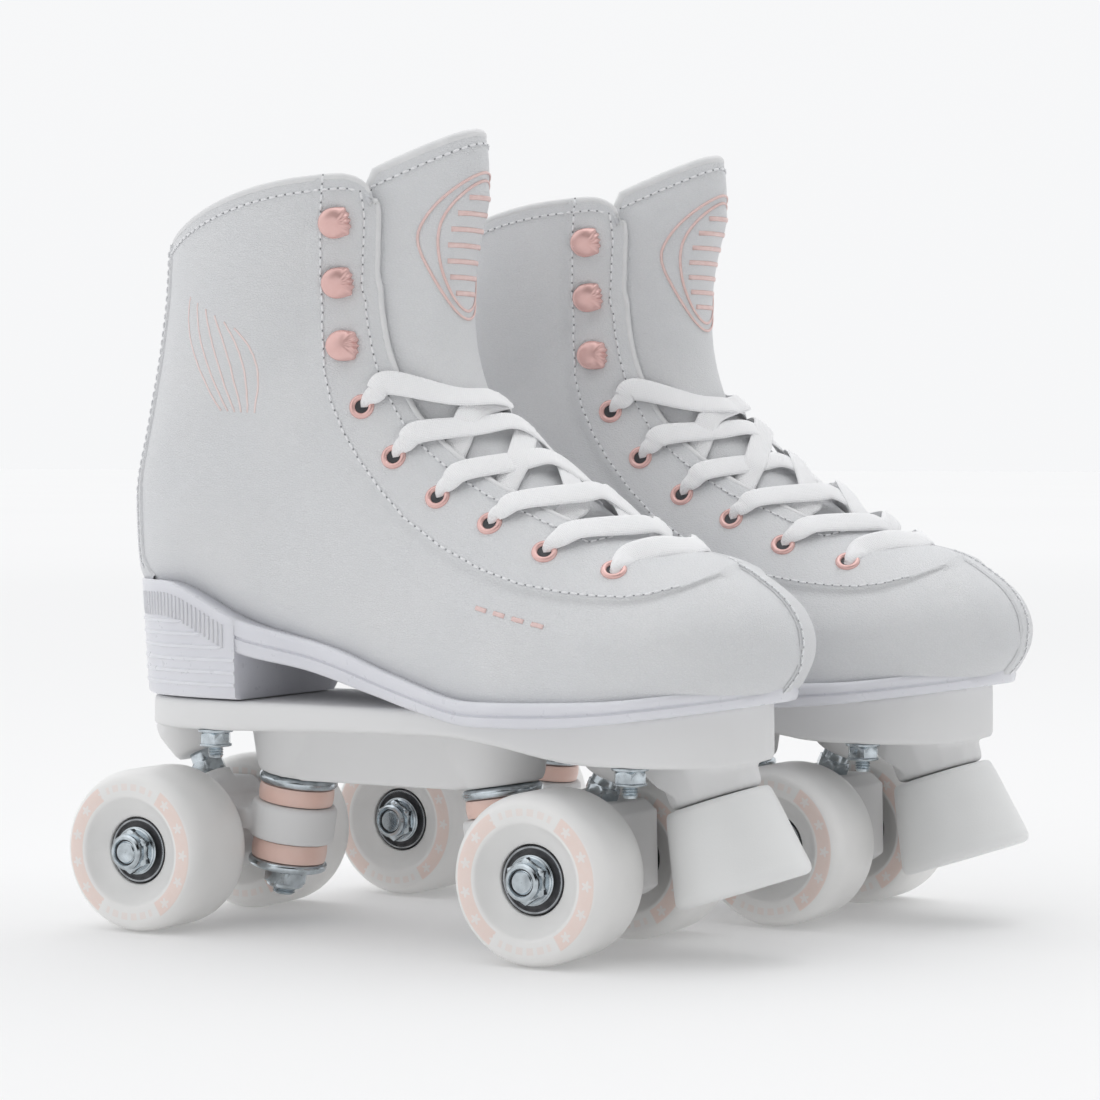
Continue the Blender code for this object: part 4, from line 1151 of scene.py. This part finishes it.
voxel = 0.9
deck = Shape()
rings = []
for i in range(91):
    x = -92.6 + 225.5 * (0.5 - 0.5 * cos(pi * i / 90))
    w, low = curve_table(DECK, x)
    top = max(78.2, min(82.6,
                        curve_table(WAIST, x)[0]
                        + 0.7)) if x > 96 else 78.2      # the front meets the rising welt
    rings.append([(x, a, z) for a,
                  z in ((-w + 1.2, low), (-w + 0.4, low + 0.3), (-w, low + 1.2), (-w + 0.3, top - 1),
                        (-w + 1.2, top),
                                         (w - 1.2, top), (w - 0.3, top - 1), (w, low + 1.2),
                                         (w - 0.4, low + 0.3), (w - 1.2, low))])
deck.grid(rings, wrap=True, caps=True)
parts = [deck, Shape().grid([[(x, -h, low), (x, h, low), (x, h + 1.5, 72), (x, -h - 1.5, 72)]
                             for x, low, h in ((-43, 57, 13.5), (-31, 50.4, 13.8), (31, 50.4, 13.8),
                                               (43, 57, 13.5))], wrap=True, caps=True)]
for sign in (-1, 1):
    o, down = kingpin(sign)
    parts.append(Shape().lathe([(0.1, -39), (18.6, -39), (17.8, -30), (14.6, -18.6), (13.6, -16.7),
                                (0.1, -16.7)], o, down, 64))
    o, up = pivot(sign)
    parts.append(Shape().lathe([(5.9, -5.4), (8.6, -5.4), (9.6, -4.2), (12.5, 4.5), (12.5, 9.0), (0.1, 9.0),
                                (0.1, 4.8), (5.6, 4.8)], o, up, 56))
parts.append(Shape().lathe([(0.1, -16), (16.2, -16), (15.2, -1.4), (14.0, -0.4), (0.1, -0.4)], STOP_AT,
                           STOP_DOWN, 12))
parts.append(Shape().grid([[(x, -a, z), (x, a, z), (x, a + 1, 66), (x, -a - 1, 66)] for x, a,
                           z in ((92, 8, 61), (104, 13, 54.5), (114, 14.5, 50.8))], wrap=True, caps=True))
pair("plate_moulding", union(parts, voxel, 7), "{side}_skate", ["{side}_plate"])

# ---------------------------------------------------------------- fasteners

def hexagon(af):
    """lathe shape: a hexagon of this width across flats, its corners cut to a circle."""
    def shape(a, r):
        local = (a + pi / 6) % (pi / 3) - pi / 6
        return min(r, af / 2 / cos(local))
    return shape


def hex_nut(shape, o, d, start, height, af, slot=0):
    corner = af / 2 / cos(pi / 6)
    shape.lathe([(0.2, start), (af / 2 * 0.985, start), (corner, start + height * 0.16),
                 (corner, start + height * 0.84),
                 (af / 2 * 0.985, start + height), (0.2, start + height)], o, d, 72, slot, hexagon(af))


def thread_on(shape, o, d, start, end, radius, slot=0, pitch=0.8):
    profile = [(0.1, start)]
    h, up = start, True
    while h < end - pitch / 2:
        profile.append((radius if up else radius * 0.86, h))
        h, up = h + pitch / 2, not up
    shape.lathe(profile + [(radius * 0.8, end), (0.1, end)], o, d, 32, slot)


def rounded_disc(shape, o, d, start, height, radius, bore, edge=1.0, slot=0, segments=64):
    e = min(edge, height * 0.48)
    arc = [(radius - e + e * sin(a), start + e - e * cos(a)) for a in (0, pi / 8, pi / 4, 3 * pi / 8, pi / 2)]
    arc += [(radius - e + e * cos(a), start + height - e + e * sin(a))
            for a in (0, pi / 8, pi / 4, 3 * pi / 8, pi / 2)]
    shape.lathe([(bore, start)] + arc + [(bore, start + height)], o, d, segments, slot, closed=True)


for sign, tag in ((1, "front"), (-1, "rear")):
    o, down = kingpin(sign)
    pin = Shape()
    hex_nut(pin, o, down, 16.4, 5.0, 14)
    pin.lathe([(0.2, 21.0), (6.3, 21.2), (6.3, 22.4), (5.6, 22.9), (4.2, 22.9), (0.2, 22.6)], o, down, 48)
    rounded_disc(pin, o, down, 16.1, 0.6, 8.4, 3.9, 0.25)
    thread_on(pin, o, down, 21.5, 25.4, 3.9)
    pin.lathe([(0.1, -34), (3.9, -34), (3.9, 17), (0.1, 17)], o, down, 32)
    hex_nut(pin, o, down, -34, 5, 13)
    pair(f"kingpin_bolt_{tag}", to_mesh("pin", pin, [ZINC], sharp=35), "{side}_skate",
         ["{side}_kingpin_" + tag])
    for which, top, height, crown in (("upper", -16.4, 3.5, 1.5), ("lower", 13.0, 3.1, 1.3)):
        cup = Shape()
        rounded_disc(cup, o, down, top, height, 13.5, 4.4, crown)
        cup.lathe([(4.6, top - 0.02), (9.5, top - 0.02), (11.2, top + 0.5), (9.0, top + 0.8),
                   (4.6, top + 0.8)], o, down, 64, closed=True)
        pair(f"cup_dish_{which}_{tag}", to_mesh("cup", cup, [ZINC], sharp=60), "{side}_skate",
             ["{side}_cup_washer_" + which + "_" + tag])
    for which, top, bottom in (("upper", -12.8, -6.9), ("lower", 6.3, 12.9)):
        ring = Shape()
        mid, half = (top + bottom) / 2, (bottom - top) / 2
        wall = [(12.55 + 0.35 * cos(t * pi / 2), mid + half * t)
                for t in (-0.96, -0.8, -0.5, -0.2, 0.2, 0.5, 0.8, 0.96)]
        ring.lathe([(4.5, top), (11.6, top), (12.2, top + 0.12)] + wall
                   + [(12.2, bottom - 0.12), (11.6, bottom), (4.5, bottom)], o, down, 72, closed=True)
        made = pair(f"cushion_ring_{which}_{tag}", to_mesh("cushion", ring, [CUSHION], sharp=70),
                    "{side}_skate",
                    ["{side}_cushion_" + which + "_" + tag])
        # each side's ring gets a mesh of its own
        for side, obj in made.items():
            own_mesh(obj)
    # hanger
    parts = [Shape().lathe([(6.4, -6.6), (13.4, -6.6), (14.3, -6.2), (14.6, -5.2), (14.6, 4.8), (14.2, 5.8),
                            (13.4, 6.1), (6.4, 6.1)], o, down, 64, closed=True),
             Shape().grid([[(sign * x, -w, zl), (sign * x, w, zl), (sign * x, w, zh), (sign * x, -w, zh)]
                           for x, w, zl, zh in
                           ((51.5, 11.5, 33.0, 39.2), (59.0, 13.0, 32.4, 41.0), (67.0, 14.2, 24.5, 45.5))],
                           wrap=True, caps=True),
             Shape().grid([[(sign * x, -w, zl), (sign * x, w, zl), (sign * x, w * 0.93, zh),
                            (sign * x, -w * 0.93, zh)] for x, w, zl, zh in
                           ((63.0, 14.0, 22.0, 44.0), (68.0, 15.2, 16.8, 48.4), (86.0, 15.2, 16.8, 48.4),
                            (91.0, 14.0, 20.0, 45.0))], wrap=True, caps=True),
             Shape().lathe([(4.4, -21.0), (6.8, -21.0), (7.4, -20.4), (9.0, -16.2), (9.0, 16.2), (7.4, 20.4),
                            (6.8, 21.0), (4.4, 21.0)],
                           (sign * AXLE_X, 0, AXLE_Z), (0, 1, 0), 48, closed=True)]
    axis_o, axis_up = pivot(sign)
    parts.append(Shape().lathe([(0.1, -20), (7.6, -20), (6.6, -13.5), (0.1, -13.5)], axis_o, axis_up, 40))
    pair(f"hanger_casting_{tag}", union(parts, 0.75, 5), "{side}_truck_" + tag,
         ["{side}_hanger_" + tag])
    pin = Shape()
    pin.lathe([(0.1, -18), (4.6, -18), (4.6, -14), (5.0, -13), (5.0, -4.4), (4.4, -2.6), (4.4, 2.0),
               (2.6, 3.5), (0.1, 3.6)], axis_o, axis_up, 48)
    hex_nut(pin, axis_o, axis_up, -13.4, 4.6, 10.6)
    pair(f"pivot_pin_{tag}", to_mesh("pivot", pin, [ZINC], sharp=35), "{side}_truck_" + tag)
    # axle
    axle = Shape()
    middle = Vector((sign * AXLE_X, 0, AXLE_Z))
    axle.lathe([(0.1, -48.0), (3.6, -48.0), (3.9, -47.4), (3.9, 47.4), (3.6, 48.0), (0.1, 48.0)], middle,
               (0, 1, 0), 40)
    for side in (-1, 1):
        d = Vector((0, side, 0))
        rounded_disc(axle, middle, d, 43.9, 0.9, 8.1, 4.1, 0.4)
        axle.lathe([(4.0, 44.7), (7.6, 44.7), (7.6, 45.2), (7.2, 45.5), (4.0, 45.5)], middle, d, 48,
                   closed=True)
        hex_nut(axle, middle, d, 45.0, 3.6, 13)
        axle.lathe([(4.2, 48.4), (5.9, 48.4), (5.9, 50.4), (5.3, 51.0), (4.5, 51.1), (4.2, 50.6)], middle, d,
                   48, closed=True)
        axle.lathe([(4.3, 48.6), (4.3, 50.3), (3.95, 50.3), (3.95, 48.6)], middle, d, 40, slot=1, closed=True)
        thread_on(axle, middle, d, 47.0, 50.6, 3.8)
        axle.lathe([(0.1, 50.2), (3.3, 50.2), (3.6, 50.5), (3.3, 50.8), (2.0, 50.65), (0.1, 50.6)], middle, d,
                   40)
    pair(f"axle_rod_{tag}", to_mesh("axle", axle, [ZINC, SHIELD_AND_EYELET_SHADE], sharp=35), "{side}_truck_" + tag,
         ["{side}_axle_" + tag])
    for side, which in ((-1, "outer"), (1, "inner")):
        centre = (sign * AXLE_X, side * WHEEL_Y, AXLE_Z)
        wheel = Shape()
        half = [(27.4, 0.0), (27.4, 8.0), (27.34, 10.0), (27.1, 11.6), (26.6, 13.1), (25.9, 14.4),
                (25.1, 15.4), (24.3, 15.9), (23.6, 16.0),
                (19.2, 16.0), (18.5, 15.8), (17.9, 15.3), (17.2, 14.4), (14.2, 12.4), (12.0, 11.4),
                (11.5, 11.25), (11.35, 10.9), (11.35, 3.7), (8.8, 3.7)]
        wheel.lathe([(r, -h) for r, h in half[::-1]] + half[1:], centre, (0, 1, 0), 128, closed=True)
        pair(f"wheel_tyre_{tag}_{which}", to_mesh("wheel", wheel, [WHEEL], sharp=60),
             "{side}_wheel_" + tag + "_" + which + "_body",
             ["{side}_wheel_" + tag + "_" + which], centre)
        bearing = Shape()
        for out in (-1, 1):
            d = Vector((0, out, 0))
            c = Vector(centre)
            bearing.lathe([(9.6, 10.9), (10.7, 10.9), (11.0, 10.6), (11.0, 4.4), (10.7, 4.1), (9.6, 4.1)], c,
                          d, 64, slot=1, closed=True)
            bearing.lathe([(6.3, 10.55), (7.6, 10.6), (7.8, 10.45), (9.0, 10.5), (9.7, 10.6), (9.7, 10.2),
                           (6.3, 10.2)], c, d, 64, slot=1, closed=True)
            bearing.lathe([(4.1, 10.9), (6.2, 10.9), (6.4, 10.7), (6.4, 4.3), (4.1, 4.1)], c, d, 48, slot=0,
                          closed=True)
            bearing.lathe([(10.05, 10.93), (10.4, 10.99), (10.6, 10.93)], c, d, 64, slot=0, closed=True)
        bearing.lathe([(4.15, -4.2), (5.9, -4.2), (5.9, 4.2), (4.15, 4.2)], centre, (0, 1, 0), 32,
                      closed=True)
        pair(f"bearing_pair_{tag}_{which}", to_mesh("bearing", bearing, [STEEL, SHIELD_AND_EYELET_SHADE], sharp=40),
             "{side}_wheel_" + tag + "_" + which + "_body",
             ["{side}_bearing_set_" + tag + "_" + which], centre)

# mounting bolts under the deck
bolts = Shape()
for x, z in ((103, 62.6), (-54, 68.0)):
    for y in (-29.5, 29.5):
        o, d = Vector((x, y, z)), Vector((0, 0, -1))
        rounded_disc(bolts, o, d, -0.2, 1.0, 5.9, 2.4, 0.3)
        hex_nut(bolts, o, d, 0.8, 4.4, 9.4)
        rounded_disc(bolts, o, d, 4.6, 1.0, 5.4, 2.4, 0.45)
        thread_on(bolts, o, d, 4.0, 9.4, 2.6, pitch=0.9)
pair("mount_bolts", to_mesh("bolts", bolts, [ZINC], sharp=35), "{side}_skate")

# toe stop
stop = Shape()
stop.lathe([(4.6, 0.0), (15.4, 0.0), (16.6, 0.25), (17.25, 1.1), (17.6, 2.2), (18.3, 5.2), (22.15, 26.2),
            (22.4, 27.9), (22.2, 29.2), (21.5, 30.1), (20.2, 30.55),
            (17.5, 30.6), (9.6, 30.6), (8.7, 30.2), (8.4, 29.4), (8.4, 16.4), (4.6, 16.2)], STOP_AT,
            STOP_DOWN, 128, closed=True)
pair("toe_stop_cone", to_mesh("stop", stop, [STOP], sharp=60), "{side}_skate",
     ["{side}_toe_stop"])

# CAD nodes that stay
for side in SIDES:
    for node, mat in (("toe_stop_bolt", ZINC), ("footbed", INSOLE)):
        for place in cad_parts[f"{side}_{node}"].material_slots:
            place.material = mat

# ---------------------------------------------------------------- floor, light and camera

floor = Shape()
floor.grid([[(x * 1000, y * 1000, 0) for x in (-60, -20, -6, -1, 1, 6, 20, 60)]
            for y in (-60, -20, -6, -1, 1, 6, 20, 60)])
mat, t, s = node_material("pale_floor", (0.9, 0.9, 0.9), 0.9, Specular_IOR_Level=0.0)
t.links.new(vary(t, noise(t, coordinates(t), 0.0006, 1.0), (0.70, 0.70, 0.70), (0.71, 0.71, 0.71)),
            s.inputs["Base Color"])
s.inputs["Emission Color"].default_value = (1, 1, 1, 1)
spot = add(t, "ShaderNodeSeparateXYZ")
t.links.new(coordinates(t), spot.inputs[0])
far = smooth_range(t, length_of(t, spot.outputs[0], spot.outputs[1]), 800, 5000, 0.18, 0.235)
t.links.new(far, s.inputs["Emission Strength"])
mesh = to_mesh("floor", floor, [mat], closed=False)
ground = bpy.data.objects.new("floor", mesh)
bpy.context.scene.collection.objects.link(ground)

scene = bpy.context.scene
scene.view_settings.view_transform = "Standard"
scene.view_settings.look = "None"
world = scene.world or bpy.data.worlds.new("studio")
scene.world = world
world.use_nodes = True
background = world.node_tree.nodes["Background"]
t = world.node_tree
way = add(t, "ShaderNodeSeparateXYZ")
t.links.new(add(t, "ShaderNodeTexCoord").outputs["Generated"], way.inputs[0])
light = math(t, "MULTIPLY_ADD", math(t, "MAXIMUM", math(t, "SUBTRACT", way.outputs[2], 0.25), 0.0), 0.75,
             0.785)
light = math(t, "MULTIPLY_ADD", way.outputs[1], 0.14, light)
light = math(t, "MULTIPLY_ADD", way.outputs[0], -0.09, light)
# darker to the front right, and brighter to the left, on the outer side
facing = math(t, "MULTIPLY_ADD", way.outputs[0], 0.86, math(t, "MULTIPLY", way.outputs[1], -0.5))
light = math(t, "MAXIMUM", math(t, "SUBTRACT", light, smooth_range(t, facing, 0.3, 0.95)), 0.0)
facing = math(t, "MULTIPLY_ADD", way.outputs[0], -0.5, math(t, "MULTIPLY", way.outputs[1], -0.86))
light = math(t, "ADD", light, smooth_range(t, facing, 0.45, 0.98, 0.0, 0.30))
# level with the floor at the horizon, all the way round
HORIZON = 0.94
level = smooth_range(t, way.outputs[2], 0.02, 0.3)
light = math(t, "MULTIPLY_ADD", math(t, "SUBTRACT", light, HORIZON), level, HORIZON)
t.links.new(light, background.inputs[1])
background.inputs[0].default_value = (0.985, 0.99, 1.0, 1)


def area(name, at, target, size, power):
    light = bpy.data.lights.new(name, "AREA")
    light.shape = "RECTANGLE"
    light.size, light.size_y = size
    light.energy = power
    obj = bpy.data.objects.new(name, light)
    scene.collection.objects.link(obj)
    obj.location = at
    obj.rotation_euler = (Vector(target) - Vector(at)).to_track_quat("-Z", "Y").to_euler()


area("overhead", (0.25, 0.35, 1.5), (0, 0, 0.1), (1.3, 1.1), 2.2)
area("front_right", (1.5, -0.2, 0.8), (0, 0, 0.1), (0.7, 0.9), 1.2)

CAMERA_AT = (0.510385, -0.944579, 0.1575)
yaw, pitch, roll = radians(29.006), radians(1.603), radians(0.058)
back = Vector((sin(yaw) * cos(pitch), -cos(yaw) * cos(pitch), sin(pitch)))
right = Vector((cos(yaw), sin(yaw), 0))
up = back.cross(right)
right, up = cos(roll) * right + sin(roll) * up, -sin(roll) * right + cos(roll) * up
camera = bpy.data.objects.new("camera", bpy.data.cameras.new("camera"))
scene.collection.objects.link(camera)
camera.data.sensor_width = 36
camera.data.lens = 101.451273
camera.matrix_world = Matrix.Translation(CAMERA_AT) @ Matrix((right, up, back)).transposed().to_4x4()
scene.camera = camera

bpy.context.view_layer.update()
